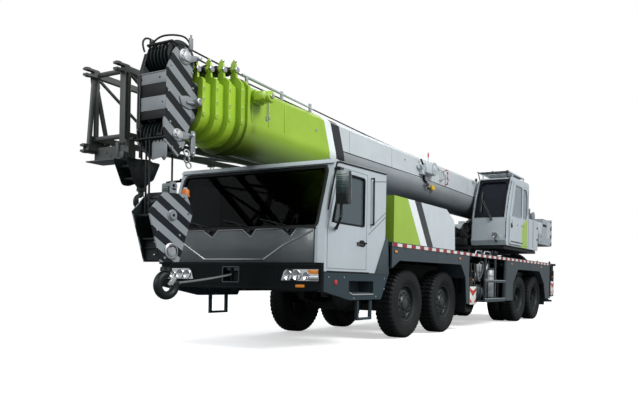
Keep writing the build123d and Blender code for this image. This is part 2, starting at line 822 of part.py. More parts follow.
# Fittings in the open bay between the front outriggers and the rear panels
with BuildPart() as service_bay:
    for side in (1, -1):
        outer = (side * (half_width - 40), side * (half_width - 5))
        for rail_z in (540, 930):
            block((-1955, -660), outer, (rail_z, rail_z + 45))
        for post_x in (-700, -1300, -1955):
            block((post_x, post_x + 40), outer, (540, deck_top - deck_plate - fit_gap))
        # air tanks, standing and lying, on a shelf carried by the posts
        block((-1955, -660), (side * (rail_half + fit_gap), outer[1]), (520, 540))
        with Locations((-1560, side * 1100, 540 + fit_gap + 350)):
            Cylinder(125, 700)
        with Locations((-1060, side * 900, 540 + fit_gap + 175)):
            Cylinder(175, 520, rotation=(0, 90, 0))
        with Locations((-1060, side * 900, 540 + fit_gap + 540)):
            Cylinder(150, 480, rotation=(0, 90, 0))
        block((-1070, -1050), (side * 895, side * 905), (880, 960))
save(service_bay, "service_bay")

# Turntable: ring, platform, two side plates that carry the boom, and the tail under the counterweight
mast_outline = [
    (boom_pivot_x - 280, turntable_bottom_z + turntable_plate),
    (boom_pivot_x - 230, boom_pivot_z + 60),
    (boom_pivot_x - 90, boom_pivot_z + 190),
    (boom_pivot_x + 90, boom_pivot_z + 190),
    (boom_pivot_x + 260, boom_pivot_z),
    (luff_foot_x - 300, luff_foot_z + 150),
    (luff_foot_x + 240, luff_foot_z + 110),
    (luff_foot_x + 400, turntable_bottom_z + turntable_plate),
]
platform_z = (turntable_bottom_z, turntable_bottom_z + turntable_plate)
mast_outer_y = mast_plate_y + mast_plate
with BuildPart() as turntable:
    block((cabinet_rear_x, luff_foot_x + 900), (-mast_outer_y - 300, mast_outer_y), platform_z)
    block((op_rear_x, op_front_x - 60), (mast_outer_y, op_left_y - 60), (platform_z[0] + 20, platform_z[1]))
    block((cabinet_rear_x, op_rear_x), (mast_outer_y, op_left_y - 60), (platform_z[0] + 20, platform_z[1]))
    with Locations((slew_x, 0, (pedestal_top_z + fit_gap + turntable_bottom_z) / 2)):
        Cylinder(ring_radius - 20, turntable_bottom_z - pedestal_top_z - fit_gap)
    for side in (1, -1):
        side_plate(mast_outline, side * mast_plate_y, side * mast_outer_y)
        # lugs for the luffing cylinder
        lug = (side * (luff_eye_half + 5), side * (luff_eye_half + 45))
        side_plate(
            [
                (luff_foot_x - 170, platform_z[1] - 10),
                (luff_foot_x - 90, luff_foot_z + 90),
                (luff_foot_x + 90, luff_foot_z + 90),
                (luff_foot_x + 170, platform_z[1] - 10),
            ],
            *lug,
        )
        # tail beams under the counterweight
        tail = (side * (mast_plate_y - 100), side * mast_outer_y)
        tail_height = (1850, counterweight_bottom_z - fit_gap)
        block((counterweight_rear_x + 500, boom_pivot_x - 200), tail, tail_height)
        block((boom_pivot_x - 330, boom_pivot_x - 200), tail, (platform_z[0], 1860))
    block((cabinet_rear_x - 330, cabinet_rear_x + 10), (-mast_outer_y, mast_outer_y), platform_z)
    # pins for the boom's foot and for the luffing cylinder
    pin_start = (boom_pivot_x, -mast_outer_y, boom_pivot_z)
    round_bar(pin_start, (boom_pivot_x, mast_outer_y, boom_pivot_z), pivot_radius)
    lug_y = luff_eye_half + 45
    round_bar((luff_foot_x, -lug_y, luff_foot_z), (luff_foot_x, lug_y, luff_foot_z), luff_pin_radius)
save(turntable, "turntable")

# Counterweight: a slab with side wings and a rear wall
with BuildPart() as counterweight:
    slab_top_z = counterweight_bottom_z + 250
    body_x = (counterweight_rear_x, counterweight_front_x)
    block(body_x, (-counterweight_half, counterweight_half), (counterweight_bottom_z, slab_top_z))
    block(
        (counterweight_rear_x, counterweight_rear_x + 230),
        (-counterweight_half, counterweight_half),
        (slab_top_z - 10, counterweight_top_z),
    )
    for side in (1, -1):
        block(
            (counterweight_rear_x, counterweight_front_x - 350),
            (side * (counterweight_half - 380), side * counterweight_half),
            (slab_top_z - 10, counterweight_top_z - 40),
        )
    chamfer(counterweight.edges().filter_by(Axis.Z).group_by(Axis.X)[0], 120)
save(counterweight, "counterweight")

# Winches on the slab: a drum between two cheeks each
drum_radius = 190
winch_places = (-5380, -5880)
with BuildPart() as winches:
    for winch_x in winch_places:
        winch_z = slab_top_z + 260
        round_bar((winch_x, -330, winch_z), (winch_x, 330, winch_z), drum_radius)
        for side in (1, -1):
            round_bar((winch_x, side * 330, winch_z), (winch_x, side * 360, winch_z), drum_radius + 45)
            cheek = (side * 358, side * 400)
            block((winch_x - 160, winch_x + 160), cheek, (slab_top_z + fit_gap, winch_z + 60))
save(winches, "winches")

# Operator's cab: a shell, open at the front and in its left side
op_outline = [
    (op_rear_x, op_floor_z),
    (op_front_x - 40, op_floor_z),
    (op_front_x, 1900),
    (op_front_x - 40, 2420),
    (op_front_x - 190, 2900),
    (op_top_front_x, op_top_z - 70),
    (op_top_front_x - 80, op_top_z),
    (op_rear_x + 60, op_top_z + 20),
    (op_rear_x, op_top_z - 40),
]
op_inside = [
    (op_rear_x + op_wall, op_floor_z + op_wall),
    (op_front_x - 40 - op_wall, op_floor_z + op_wall),
    (op_front_x - op_wall, 1900),
    (op_front_x - 40 - op_wall, 2410),
    (op_front_x - 190 - op_wall, 2885),
    (op_top_front_x - op_wall, op_top_z - 85),
    (op_top_front_x - 80 - op_wall, op_top_z - op_wall),
    (op_rear_x + op_wall, op_top_z - op_wall),
]
op_screen_outer = [(op_front_x - 42, 2440), (op_front_x - 190, 2900), (op_top_front_x + 20, op_top_z - 110)]
op_side_window = (op_rear_x + 110, op_door_rear_x - 60)
with BuildPart() as operator_cab:
    side_plate(op_outline, op_right_y, op_left_y)
    side_plate(op_inside, op_right_y + op_wall, op_left_y - op_wall, mode=Mode.SUBTRACT)
    # windscreen opening
    side_plate(
        [(x - 100, z) for x, z in op_screen_outer] + [(x + 100, z) for x, z in reversed(op_screen_outer)],
        op_right_y + op_wall + 30,
        op_left_y - op_wall - 30,
        mode=Mode.SUBTRACT,
    )
    # doorway and side windows
    doorway = [
        (op_door_rear_x + 30, op_floor_z + 90),
        (op_door_front_x - 30, op_floor_z + 90),
        (op_door_front_x - 30, 2450),
        (op_door_front_x - 320, 3250),
        (op_door_rear_x + 30, 3250),
    ]
    side_plate(doorway, op_left_y - op_wall - 10, op_left_y + 10, mode=Mode.SUBTRACT)
    rear_window = [
        (op_side_window[0], 2650),
        (op_side_window[0] + 80, 2500),
        (op_side_window[1], 2500),
        (op_side_window[1], 3240),
        (op_side_window[0] + 100, 3240),
        (op_side_window[0], 3050),
    ]
    side_plate(rear_window, op_left_y - op_wall - 10, op_left_y + 10, mode=Mode.SUBTRACT)
    # cabinet behind the cab
    block((cabinet_rear_x, op_rear_x), (op_right_y, op_left_y), (op_floor_z, cabinet_top_z))
    # guard on the roof
    for bar_y in (op_right_y + 60, op_left_y - 60):
        bar_run = (op_rear_x + 250, op_top_front_x + 150)
        block(bar_run, (bar_y - 12, bar_y + 12), (op_top_z + 95, op_top_z + 119))
        for post_x in (op_rear_x + 300, op_top_front_x - 160):
            block((post_x - 12, post_x + 12), (bar_y - 12, bar_y + 12), (op_top_z - 10, op_top_z + 100))
    for bar_x in range(int(op_rear_x + 260), int(op_top_front_x + 150), 150):
        block(
            (bar_x - 8, bar_x + 8),
            (op_right_y + 60, op_left_y - 60),
            (op_top_z + 99, op_top_z + 115),
        )
    # rail that carries the sliding door
    for rail_z in (op_floor_z + 60, 3300):
        block(
            (op_rear_x + 40, op_front_x - 330),
            (op_left_y - 5, op_left_y + 5),
            (rail_z - 12, rail_z + 12),
        )
save(operator_cab, "operator_cab")

with BuildPart() as operator_glass:
    inner_points = [(x - 30, z) for x, z in op_screen_outer]
    outer_points = [(x - 18, z) for x, z in reversed(op_screen_outer)]
    side_plate(
        inner_points + outer_points, op_right_y + op_wall + 30 + fit_gap, op_left_y - op_wall - 30 - fit_gap
    )
    middle_y = op_left_y - op_wall / 2
    pane = [
        (op_side_window[0] + 0.5, 2650),
        (op_side_window[0] + 80, 2500.5),
        (op_side_window[1] - 0.5, 2500.5),
        (op_side_window[1] - 0.5, 3239.5),
        (op_side_window[0] + 100, 3239.5),
        (op_side_window[0] + 0.5, 3050),
    ]
    side_plate(pane, middle_y - 5, middle_y + 5)
save(operator_glass, "operator_glass")

# Sliding door: it runs outside the cab's left wall
op_door_y = op_left_y + 5 + fit_gap
op_door_shape = [
    (op_door_rear_x, op_floor_z + 40),
    (op_door_front_x + 30, op_floor_z + 40),
    (op_door_front_x + 20, 2450),
    (op_door_front_x - 290, 3300),
    (op_door_front_x - 330, 3325),
    (op_door_rear_x, 3325),
]
op_door_window = [
    (op_door_rear_x + 90, 2480),
    (op_door_front_x - 90, 2480),
    (op_door_front_x - 330, 3235),
    (op_door_rear_x + 90, 3235),
]
with BuildPart() as operator_door:
    side_plate(op_door_shape, op_door_y, op_door_y + op_door_thickness)
    side_plate(op_door_window, op_door_y - 10, op_door_y + op_door_thickness + 10, mode=Mode.SUBTRACT)
    block(
        (op_door_front_x - 130, op_door_front_x - 90),
        (op_door_y + op_door_thickness, op_door_y + op_door_thickness + 20),
        (2270, 2400),
    )
save(operator_door, "operator_door")

with BuildPart() as operator_door_glass:
    pane = [
        (op_door_rear_x + 90.5, 2480.5),
        (op_door_front_x - 91, 2480.5),
        (op_door_front_x - 330.5, 3234.5),
        (op_door_rear_x + 90.5, 3234.5),
    ]
    side_plate(pane, op_door_y + 10, op_door_y + 20)
save(operator_door_glass, "operator_door_glass")

with BuildPart() as operator_seat:
    seat_middle_y = (op_right_y + op_left_y) / 2
    seat_floor = op_floor_z + op_wall + fit_gap
    block((-3350, -3000), (seat_middle_y - 150, seat_middle_y + 150), (seat_floor, 2220))
    block((-3430, -2930), (seat_middle_y - 250, seat_middle_y + 250), (2210, 2340))
    side_plate(
        [(-3430, 2300), (-3310, 2300), (-3430, 3020), (-3540, 3020)], seat_middle_y - 250, seat_middle_y + 250
    )
    block((-2560, -2400), (seat_middle_y - 220, seat_middle_y + 220), (seat_floor, 2450))
    block((-3150, -2560), (seat_middle_y - 30, seat_middle_y + 30), (seat_floor, seat_floor + 60))
save(operator_seat, "operator_seat")

# Luffing cylinder: barrel on the turntable's lugs, rod with its eye under the boom
luff_run = Vector(luff_eye_x - luff_foot_x, 0, luff_eye_z - luff_foot_z)
luff_length = luff_run.length
luff_axis = luff_run.normalized()
luff_foot = Vector(luff_foot_x, 0, luff_foot_z)
barrel_mouth = luff_length - 230


def along_luff(distance):
    """A point on the cylinder's line, so far from its foot."""
    return tuple(luff_foot + luff_axis * distance)


with BuildPart() as luff_barrel:
    round_bar(along_luff(190), along_luff(barrel_mouth), luff_barrel_radius)
    round_bar(along_luff(245), along_luff(barrel_mouth - 110), luff_rod_radius + 15, mode=Mode.SUBTRACT)
    round_bar(along_luff(240), along_luff(barrel_mouth + 10), luff_rod_radius + fit_gap, mode=Mode.SUBTRACT)
    round_bar((luff_foot_x, -luff_eye_half, luff_foot_z), (luff_foot_x, luff_eye_half, luff_foot_z), 110)
    side_plate(
        [
            (along_luff(0)[0], luff_foot_z - 105),
            (along_luff(0)[0], luff_foot_z + 105),
            (along_luff(200)[0], along_luff(200)[2] + 105),
            (along_luff(200)[0], along_luff(200)[2] - 105),
        ],
        -luff_eye_half,
        luff_eye_half,
    )
    pin_y = luff_eye_half + 10
    pin_hole = luff_pin_radius + fit_gap
    eye_start = (luff_foot_x, -pin_y, luff_foot_z)
    round_bar(eye_start, (luff_foot_x, pin_y, luff_foot_z), pin_hole, mode=Mode.SUBTRACT)
save(luff_barrel, "luff_barrel")

with BuildPart() as luff_rod:
    round_bar(along_luff(260), along_luff(luff_length - 160), luff_rod_radius)
    eye = (luff_eye_x, luff_eye_z)
    neck = along_luff(luff_length - 170)
    side_plate(
        [
            (neck[0], neck[2] - 70),
            (neck[0], neck[2] + 70),
            (eye[0], eye[1] + 70),
            (eye[0], eye[1] - 70),
        ],
        -luff_eye_half,
        luff_eye_half,
    )
    round_bar((eye[0], -luff_eye_half, eye[1]), (eye[0], luff_eye_half, eye[1]), luff_eye_radius)
    pin_y = luff_eye_half + 10
    round_bar((eye[0], -pin_y, eye[1]), (eye[0], pin_y, eye[1]), luff_pin_radius, mode=Mode.SUBTRACT)
save(luff_rod, "luff_rod")

# Boom sections, each a tube with a collar at its front end and a shoe at its rear end
section_count = len(collar_x)
for place in range(section_count):
    shrink = place * boom_step
    tail_x = boom_tail_x + place * section_tail_step
    front_x = collar_x[place]
    half = boom_half - shrink
    top = boom_top_z - shrink
    with BuildPart() as section:
        extrude(boom_outline(shrink, tail_x), amount=front_x - tail_x)
        bore = boom_outline(shrink + boom_wall, tail_x - 10)
        extrude(bore, amount=front_x - tail_x + 20, mode=Mode.SUBTRACT)
        if place > 0:
            # shoe that slides inside the section around it
            extrude(boom_outline(shrink - boom_step + boom_wall + fit_gap, tail_x), amount=300)
            extrude(boom_outline(shrink + boom_wall, tail_x - 10), amount=320, mode=Mode.SUBTRACT)
        if place < section_count - 1:
            # collar: a rim around the mouth that guides the next section, with two ears on top
            rim_x = front_x - collar_plate
            extrude(boom_outline(shrink - collar_rim, rim_x), amount=collar_plate)
            if place == 0:
                extrude(boom_outline(-collar_rim, rim_x - 120), amount=collar_plate)
            for side in (1, -1):
                ear_y = side * (half - 110)
                front_plate(
                    [
                        (ear_y - 55, top - 20),
                        (ear_y - 45, top + ear_height),
                        (ear_y, top + ear_height + 50),
                        (ear_y + 25, top + ear_height),
                        (ear_y + 55, top - 20),
                    ],
                    rim_x,
                    rim_x + 30,
                )
            round_bar(
                (rim_x + 15, -half + 110, top + 150), (rim_x + 15, half - 110, top + 150), 40
            )
            extrude(
                boom_outline(shrink + boom_step - fit_gap, front_x - 200), amount=260, mode=Mode.SUBTRACT
            )
        if place == 0:
            # foot: two plates that taper to the pivot, closed behind by a cross plate
            for side in (1, -1):
                foot = [
                    (boom_tail_x + 400, boom_top_z - boom_corner),
                    (boom_tail_x, boom_top_z - boom_corner),
                    (boom_pivot_x - 60, boom_pivot_z + 140),
                    (boom_pivot_x - 140, boom_pivot_z),
                    (boom_pivot_x - 60, boom_pivot_z - 140),
                    (boom_tail_x, boom_centre_z - 200),
                    (boom_tail_x + 400, boom_centre_z),
                ]
                side_plate(foot, side * (boom_half - 30), side * boom_half)
            pin_y = boom_half + 10
            round_bar(
                (boom_pivot_x, -pin_y, boom_pivot_z),
                (boom_pivot_x, pin_y, boom_pivot_z),
                pivot_radius + fit_gap,
                mode=Mode.SUBTRACT,
            )
            block(
                (boom_tail_x - 60, boom_tail_x - 30),
                (-boom_half + 30, boom_half - 30),
                (boom_pivot_z - 100, boom_pivot_z + 300),
            )
            # lugs for the luffing cylinder's eye, open between them
            for side in (1, -1):
                lug = (side * (luff_eye_half + 5), side * (luff_eye_half + 40))
                side_plate(
                    [
                        (luff_eye_x - 170, boom_centre_z - boom_half + 20),
                        (luff_eye_x - 90, luff_eye_z - 90),
                        (luff_eye_x + 90, luff_eye_z - 90),
                        (luff_eye_x + 260, boom_centre_z - boom_half + 20),
                    ],
                    *lug,
                )
            extrude(boom_outline(boom_wall, tail_x - 10), amount=8000, mode=Mode.SUBTRACT)
        if place == section_count - 1:
            # head: two side plates, cross plates and the sheave pins
            head_outline = [
                (front_x - 60, boom_top_z + 60),
                (front_x - 40, boom_centre_z - 190),
                (6240, 2400),
                (6320, 2285),
                (6500, 2430),
                (6520, 2650),
                (head_front_x, 2760),
                (head_front_x, 3215),
                (6400, 3470),
                (6330, 3570),
                (6200, 3560),
            ]
            for side in (1, -1):
                side_plate(head_outline, side * (head_half - head_plate), side * head_half)
            block((head_front_x - 25, head_front_x), (-head_half + 5, head_half - 5), (2690, 3210))
            block((front_x - 60, front_x - 30), (-head_half + 5, head_half - 5), (2760, top + 30))
            # arm that carries the second hook's rope
            round_bar((hang_x, -head_half + 5, aux_arm_z), (hang_x, aux_y - 40, aux_arm_z), 30)
            for x, z in ((head_sheave_x, head_sheave_z), (low_sheave_x, low_sheave_z)):
                round_bar((x, -head_half - 20, z), (x, head_half + 20, z), 40)
    save(section, f"boom_section_{place + 1}")

# Sheaves at the head, side by side on their pins
with BuildPart() as head_sheaves:
    for x, z, radius in (
        (head_sheave_x, head_sheave_z, head_sheave_radius),
        (low_sheave_x, low_sheave_z, low_sheave_radius),
    ):
        outline = [(40 + fit_gap, -sheave_bank_half)]
        for turn in range(sheave_count):
            low_y = -sheave_bank_half + turn * sheave_pitch
            outline += [
                (radius, low_y),
                (radius, low_y + 5),
                (radius - groove_depth, low_y + 14),
                (radius - groove_depth, low_y + sheave_pitch - 14),
                (radius, low_y + sheave_pitch - 5),
                (radius, low_y + sheave_pitch - 0.5),
            ]
        outline.append((40 + fit_gap, sheave_bank_half - 0.5))
        revolved_ring((x, z), outline)
save(head_sheaves, "head_sheaves")

# Lattice jib, stowed beside the first boom section
jib_front = {
    "near_top": (jib_front_x, jib_near_y, 3390),
    "far_top": (jib_front_x, jib_far_y, 3390),
    "near_low": (jib_front_x, jib_near_y, 2600),
    "far_low": (jib_front_x, jib_far_y, 2600),
}
jib_rear = {
    "near_top": (jib_rear_x, jib_near_y, 3120),
    "far_top": (jib_rear_x, jib_far_y + 300, 3120),
    "near_low": (jib_rear_x, jib_near_y, 2760),
    "far_low": (jib_rear_x, jib_far_y + 300, 2760),
}
jib_bays = 8
chord_size = 70
fork_offset = 30           # the far upper fork stands nearer to the boom than the fork below it
lacing_radius = 20


def jib_point(chord, share):
    """A point on one of the jib's chords, from its front end at 0 to its rear end at 1."""
    start = Vector(*jib_front[chord])
    return tuple(start + (Vector(*jib_rear[chord]) - start) * share)


def square_bar(start, end, size):
    """A square bar from one point to another."""
    run = Vector(*end) - Vector(*start)
    across = (0, 1, 0) if abs(run.Y) < abs(run.X) else (1, 0, 0)
    with BuildSketch(Plane(origin=start, x_dir=across, z_dir=run)) as section:
        Rectangle(size, size)
    extrude(section.sketch, amount=run.length)


with BuildPart() as jib:
    for chord in jib_front:
        square_bar(jib_point(chord, 0), jib_point(chord, 1), chord_size)
    # lacing: a zigzag on each face, from one chord to its neighbour
    faces = [
        ("near_top", "far_top"),
        ("near_low", "far_low"),
        ("far_top", "far_low"),
        ("near_top", "near_low"),
    ]
    for first, second in faces:
        for bay in range(jib_bays):
            start, end = (first, second) if bay % 2 == 0 else (second, first)
            round_bar(jib_point(start, bay / jib_bays), jib_point(end, (bay + 1) / jib_bays), lacing_radius)
        for share in (0.004, 0.996):
            round_bar(jib_point(first, share), jib_point(second, share), lacing_radius + 10)
    # braces of the front frame on the far side
    round_bar((jib_front_x, jib_far_y, 3390), (jib_front_x + 60, jib_far_y, 2480), 28)
    round_bar((jib_front_x, jib_far_y, 3390), (jib_front_x - 215, jib_far_y, 2480), 28)
    # box across the foot, with the forks that pin it to the boom's head when it is in use
    low_arm = (jib_far_y - 35, jib_far_y + fork_offset + 36)
    block((jib_front_x - 200, jib_front_x + 110), low_arm, (2440, 2490))
    block((jib_front_x - 120, jib_front_x - 20), (jib_far_y, jib_near_y + 40), (2320, 2490))
    block((jib_front_x - 110, jib_front_x - 30), (jib_near_y - 35, jib_near_y + 35), (2480, 2600))
    for fork_y, fork_z in ((jib_near_y, 3390), (jib_far_y + fork_offset, 3390), (jib_far_y, 2465)):
        block((jib_front_x - 30, jib_front_x + 45), (fork_y - 36, fork_y + 36), (fork_z - 40, fork_z + 40))
        for prong in (-34, 34):
            block(
                (jib_front_x - 20, jib_front_x + 150),
                (fork_y - 38, fork_y + 38),
                (fork_z + prong - 13, fork_z + prong + 13),
            )
        with Locations((jib_front_x + 110, fork_y, fork_z)):
            Cylinder(22, 120, mode=Mode.SUBTRACT)
    # brackets that hold it to the boom's side
    for share in (0.14, 0.72):
        x, y, z = jib_point("near_low", share)
        arm_height = (boom_centre_z + 30, boom_centre_z + 130)
        block((x - 40, x + 40), (jib_near_y - 10, -boom_half - fit_gap), arm_height)
        block((x - 40, x + 40), (jib_near_y - 30, jib_near_y + 30), (z, jib_point("near_top", share)[2]))
save(jib, "jib")

# Hook block: two plates with the sheaves between them and the hook below
hook_outline = [
    (hook_x + 120, 1870),
    (hook_x - 210, 1890),
    (hook_x - 310, 1680),
    (hook_x - 110, 1090),
    (hook_x + 150, 1080),
    (hook_x + 320, 1640),
]
plate_inner_y = hook_plate_half - hook_plate
hook_ring_x = hook_x - 60
hook_ring_z = 820
hook_ring_radius = 124
hook_thickness = 50
# the falls lie in the grooves of the sheaves above and below
fall_y = [(place - 1) * sheave_pitch - sheave_pitch / 2 for place in range(4)]
fall_x = low_sheave_x + low_sheave_radius - groove_depth + rope_radius + fit_gap
with BuildPart() as hook_block:
    for side in (1, -1):
        side_plate(hook_outline, side * plate_inner_y, side * hook_plate_half)
    block((hook_x - 110, hook_x + 140), (-plate_inner_y - 5, plate_inner_y + 5), (1100, 1330))
    block((hook_x - 215, hook_x - 40), (-plate_inner_y - 5, plate_inner_y + 5), (1850, 1872))
    block((hook_x - 250, hook_x - 225), (-plate_inner_y - 5, plate_inner_y + 5), (1500, 1640))
    pin_y = hook_plate_half + 25
    round_bar((hook_x, -pin_y, hook_sheave_z), (hook_x, pin_y, hook_sheave_z), 45)
    round_bar((hook_x + 10, -pin_y, 1210), (hook_x + 10, pin_y, 1210), 62)
    # eye on top for the rope's dead end
    block((hook_x - 60, hook_x + 5), (75, 115), (1850, 1960))
    # shank and hook
    round_bar((hook_ring_x + 20, 0, 1120), (hook_ring_x, 0, hook_ring_z + hook_ring_radius - 10), 45)
    with BuildLine(Plane.XZ) as hook_line:
        CenterArc((hook_ring_x, hook_ring_z), hook_ring_radius, 90, -285)
    with BuildSketch(Plane(origin=hook_line.line @ 0, z_dir=hook_line.line % 0)) as hook_section:
        Circle(hook_thickness)
    sweep(hook_section.sketch, path=hook_line.line)
    for sheave_y in fall_y:
        low_y = sheave_y - 24
        groove_radius = hook_sheave_radius - groove_depth
        revolved_ring(
            (hook_x, hook_sheave_z),
            [
                (45 + fit_gap, low_y),
                (hook_sheave_radius, low_y),
                (hook_sheave_radius, low_y + 3),
                (groove_radius, low_y + 11),
                (groove_radius, low_y + 37),
                (hook_sheave_radius, low_y + 45),
                (hook_sheave_radius, low_y + 48),
                (45 + fit_gap, low_y + 48),
            ],
        )
    # rope falls up to the head's lower sheaves, and the dead end on its eye
    for y in fall_y[:2]:
        round_bar((fall_x, y, hook_sheave_z), (fall_x, y, low_sheave_z), rope_radius)
    round_bar((hook_x - 28, 95, 1960 + fit_gap), (hook_x - 28, 95, hang_z), rope_radius)
save(hook_block, "hook_block")

# Second hook: a weight on the rope with a small hook below
with BuildPart() as aux_hook:
    round_bar((hang_x, aux_y, 2290), (hang_x, aux_y, aux_arm_z - 30 - fit_gap), rope_radius)
    round_bar((hang_x, aux_y, 2060), (hang_x, aux_y, 2300), 105)
    with BuildSketch(Plane.XY.offset(2060)) as weight_foot:
        with Locations((hang_x, aux_y)):
            Circle(105)
    extrude(weight_foot.sketch, amount=-90, taper=35)
    round_bar((hang_x, aux_y, 1990), (hang_x, aux_y, 1870), 32)
    with BuildLine(Plane.XZ.offset(-aux_y)) as aux_line:
        CenterArc((hang_x, 1800), 78, 90, -270)
    with BuildSketch(Plane(origin=aux_line.line @ 0, z_dir=aux_line.line % 0)) as aux_section:
        Circle(25)
    sweep(aux_section.sketch, path=aux_line.line)
save(aux_hook, "aux_hook")
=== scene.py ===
from math import cos, pi, radians, sin

import bmesh
import bpy
from mathutils import Matrix, Vector


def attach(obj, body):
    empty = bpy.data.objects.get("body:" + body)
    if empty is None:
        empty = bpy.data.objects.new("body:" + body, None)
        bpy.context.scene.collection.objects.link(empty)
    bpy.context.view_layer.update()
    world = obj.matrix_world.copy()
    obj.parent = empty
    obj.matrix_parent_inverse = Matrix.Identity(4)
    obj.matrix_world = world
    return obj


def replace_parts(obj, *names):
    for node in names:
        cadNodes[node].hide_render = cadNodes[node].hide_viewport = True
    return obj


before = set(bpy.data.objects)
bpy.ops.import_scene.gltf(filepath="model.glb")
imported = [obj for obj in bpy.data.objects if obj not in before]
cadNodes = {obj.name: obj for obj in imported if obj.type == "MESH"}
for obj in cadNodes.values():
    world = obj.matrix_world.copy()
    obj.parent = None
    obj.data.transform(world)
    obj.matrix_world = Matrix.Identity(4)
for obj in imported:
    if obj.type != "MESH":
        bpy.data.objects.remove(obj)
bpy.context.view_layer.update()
print("frame loaded:", len(cadNodes), "nodes")

# Camera at the photograph's viewpoint, worked out from the wheels, deck and cab
cameraView = {"place": (11.5022, 5.9078, 0.9013), "yaw": 3.6023, "roll": 0.018, "lens": 35.49,
              "shift": (-0.1583, 0.1293)}


def placeCamera(view):
    ahead = Vector((cos(view["yaw"]), sin(view["yaw"]), 0))
    across = Vector((sin(view["yaw"]), -cos(view["yaw"]), 0))
    up = Vector((0, 0, 1))
    tiltedAcross = cos(view["roll"]) * across + sin(view["roll"]) * up
    tiltedUp = -sin(view["roll"]) * across + cos(view["roll"]) * up
    camera = bpy.data.cameras.new("photoCamera")
    camera.lens = view["lens"]
    camera.sensor_width = 36
    camera.sensor_fit = "HORIZONTAL"
    camera.shift_x, camera.shift_y = view["shift"]
    camera.clip_end = 300
    holder = bpy.data.objects.new("photoCamera", camera)
    turned = Matrix((tiltedAcross, tiltedUp, -ahead)).transposed().to_4x4()
    holder.matrix_world = Matrix.Translation(view["place"]) @ turned
    bpy.context.scene.collection.objects.link(holder)
    bpy.context.scene.camera = holder


placeCamera(cameraView)
bpy.context.scene.view_settings.view_transform = "Standard"


# Shader helpers
def put(tree, kind, values=None, **settings):
    made = tree.nodes.new(kind)
    for key, value in settings.items():
        setattr(made, key, value)
    for key, value in (values or {}).items():
        made.inputs[key].default_value = value
    return made


def maths(tree, operation, first, second=None, clamp=False):
    made = tree.nodes.new("ShaderNodeMath")
    made.operation = operation
    made.use_clamp = clamp
    for place, value in ((0, first), (1, second)):
        if value is None:
            continue
        if isinstance(value, (int, float)):
            made.inputs[place].default_value = value
        else:
            tree.links.new(value, made.inputs[place])
    return made.outputs[0]


def mixColour(tree, share, first, second, blend="MIX"):
    made = tree.nodes.new("ShaderNodeMix")
    made.data_type = "RGBA"
    made.blend_type = blend
    for place, value in ((0, share), (6, first), (7, second)):
        if isinstance(value, (int, float, tuple)):
            made.inputs[place].default_value = value
        else:
            tree.links.new(value, made.inputs[place])
    return made.outputs[2]


def startGroup(name, inputs, outputs):
    tree = bpy.data.node_groups.new(name, "ShaderNodeTree")
    for label, kind, value in inputs:
        socket = tree.interface.new_socket(name=label, in_out="INPUT", socket_type=kind)
        socket.default_value = value
    for label, kind in outputs:
        tree.interface.new_socket(name=label, in_out="OUTPUT", socket_type=kind)
    return tree, tree.nodes.new("NodeGroupInput"), tree.nodes.new("NodeGroupOutput")


floatSocket, colourSocket, vectorSocket = "NodeSocketFloat", "NodeSocketColor", "NodeSocketVector"


def makeWeathering():
    tree, given, result = startGroup(
        "weathering",
        [("Color", colourSocket, (0.5, 0.5, 0.5, 1)), ("Dust", colourSocket, (0.32, 0.29, 0.25, 1)),
         ("Amount", floatSocket, 0.3), ("Rise", floatSocket, 1.2), ("Clean", floatSocket, 0.35),
         ("Dull", floatSocket, 0.75)],
        [("Color", colourSocket), ("Roughness", floatSocket)])
    spot = put(tree, "ShaderNodeTexCoord")
    split = put(tree, "ShaderNodeSeparateXYZ")
    tree.links.new(spot.outputs["Object"], split.inputs[0])
    low = put(tree, "ShaderNodeMapRange", {"To Min": 1.0, "To Max": 0.12})
    tree.links.new(split.outputs["Z"], low.inputs["Value"])
    tree.links.new(given.outputs["Rise"], low.inputs["From Max"])
    cloud = put(tree, "ShaderNodeTexNoise", {"Scale": 2.3, "Detail": 6.0, "Roughness": 0.62})
    tree.links.new(spot.outputs["Object"], cloud.inputs["Vector"])
    stretch = put(tree, "ShaderNodeMapping", {"Scale": (9.0, 9.0, 0.8)})
    tree.links.new(spot.outputs["Object"], stretch.inputs["Vector"])
    streak = put(tree, "ShaderNodeTexNoise", {"Scale": 1.0, "Detail": 4.0, "Roughness": 0.55})
    tree.links.new(stretch.outputs[0], streak.inputs["Vector"])
    both = maths(tree, "MULTIPLY", cloud.outputs["Fac"], streak.outputs["Fac"])
    patchy = put(tree, "ShaderNodeMapRange", {"From Min": 0.14, "From Max": 0.42})
    tree.links.new(both, patchy.inputs["Value"])
    dusty = maths(tree, "MULTIPLY", maths(tree, "MULTIPLY", patchy.outputs[0], low.outputs[0]),
                  given.outputs["Amount"], clamp=True)
    tone = put(tree, "ShaderNodeMapRange", {"From Min": 0.3, "From Max": 0.7, "To Min": 0.93, "To Max": 1.05})
    tree.links.new(cloud.outputs["Fac"], tone.inputs["Value"])
    toned = mixColour(tree, 1.0, given.outputs["Color"], tone.outputs[0], "MULTIPLY")
    tree.links.new(mixColour(tree, dusty, toned, given.outputs["Dust"]), result.inputs["Color"])
    rough = put(tree, "ShaderNodeMapRange")
    tree.links.new(maths(tree, "ADD", dusty, maths(tree, "MULTIPLY", streak.outputs["Fac"], 0.12)),
                   rough.inputs["Value"])
    tree.links.new(given.outputs["Clean"], rough.inputs["To Min"])
    tree.links.new(given.outputs["Dull"], rough.inputs["To Max"])
    tree.links.new(rough.outputs[0], result.inputs["Roughness"])
    return tree


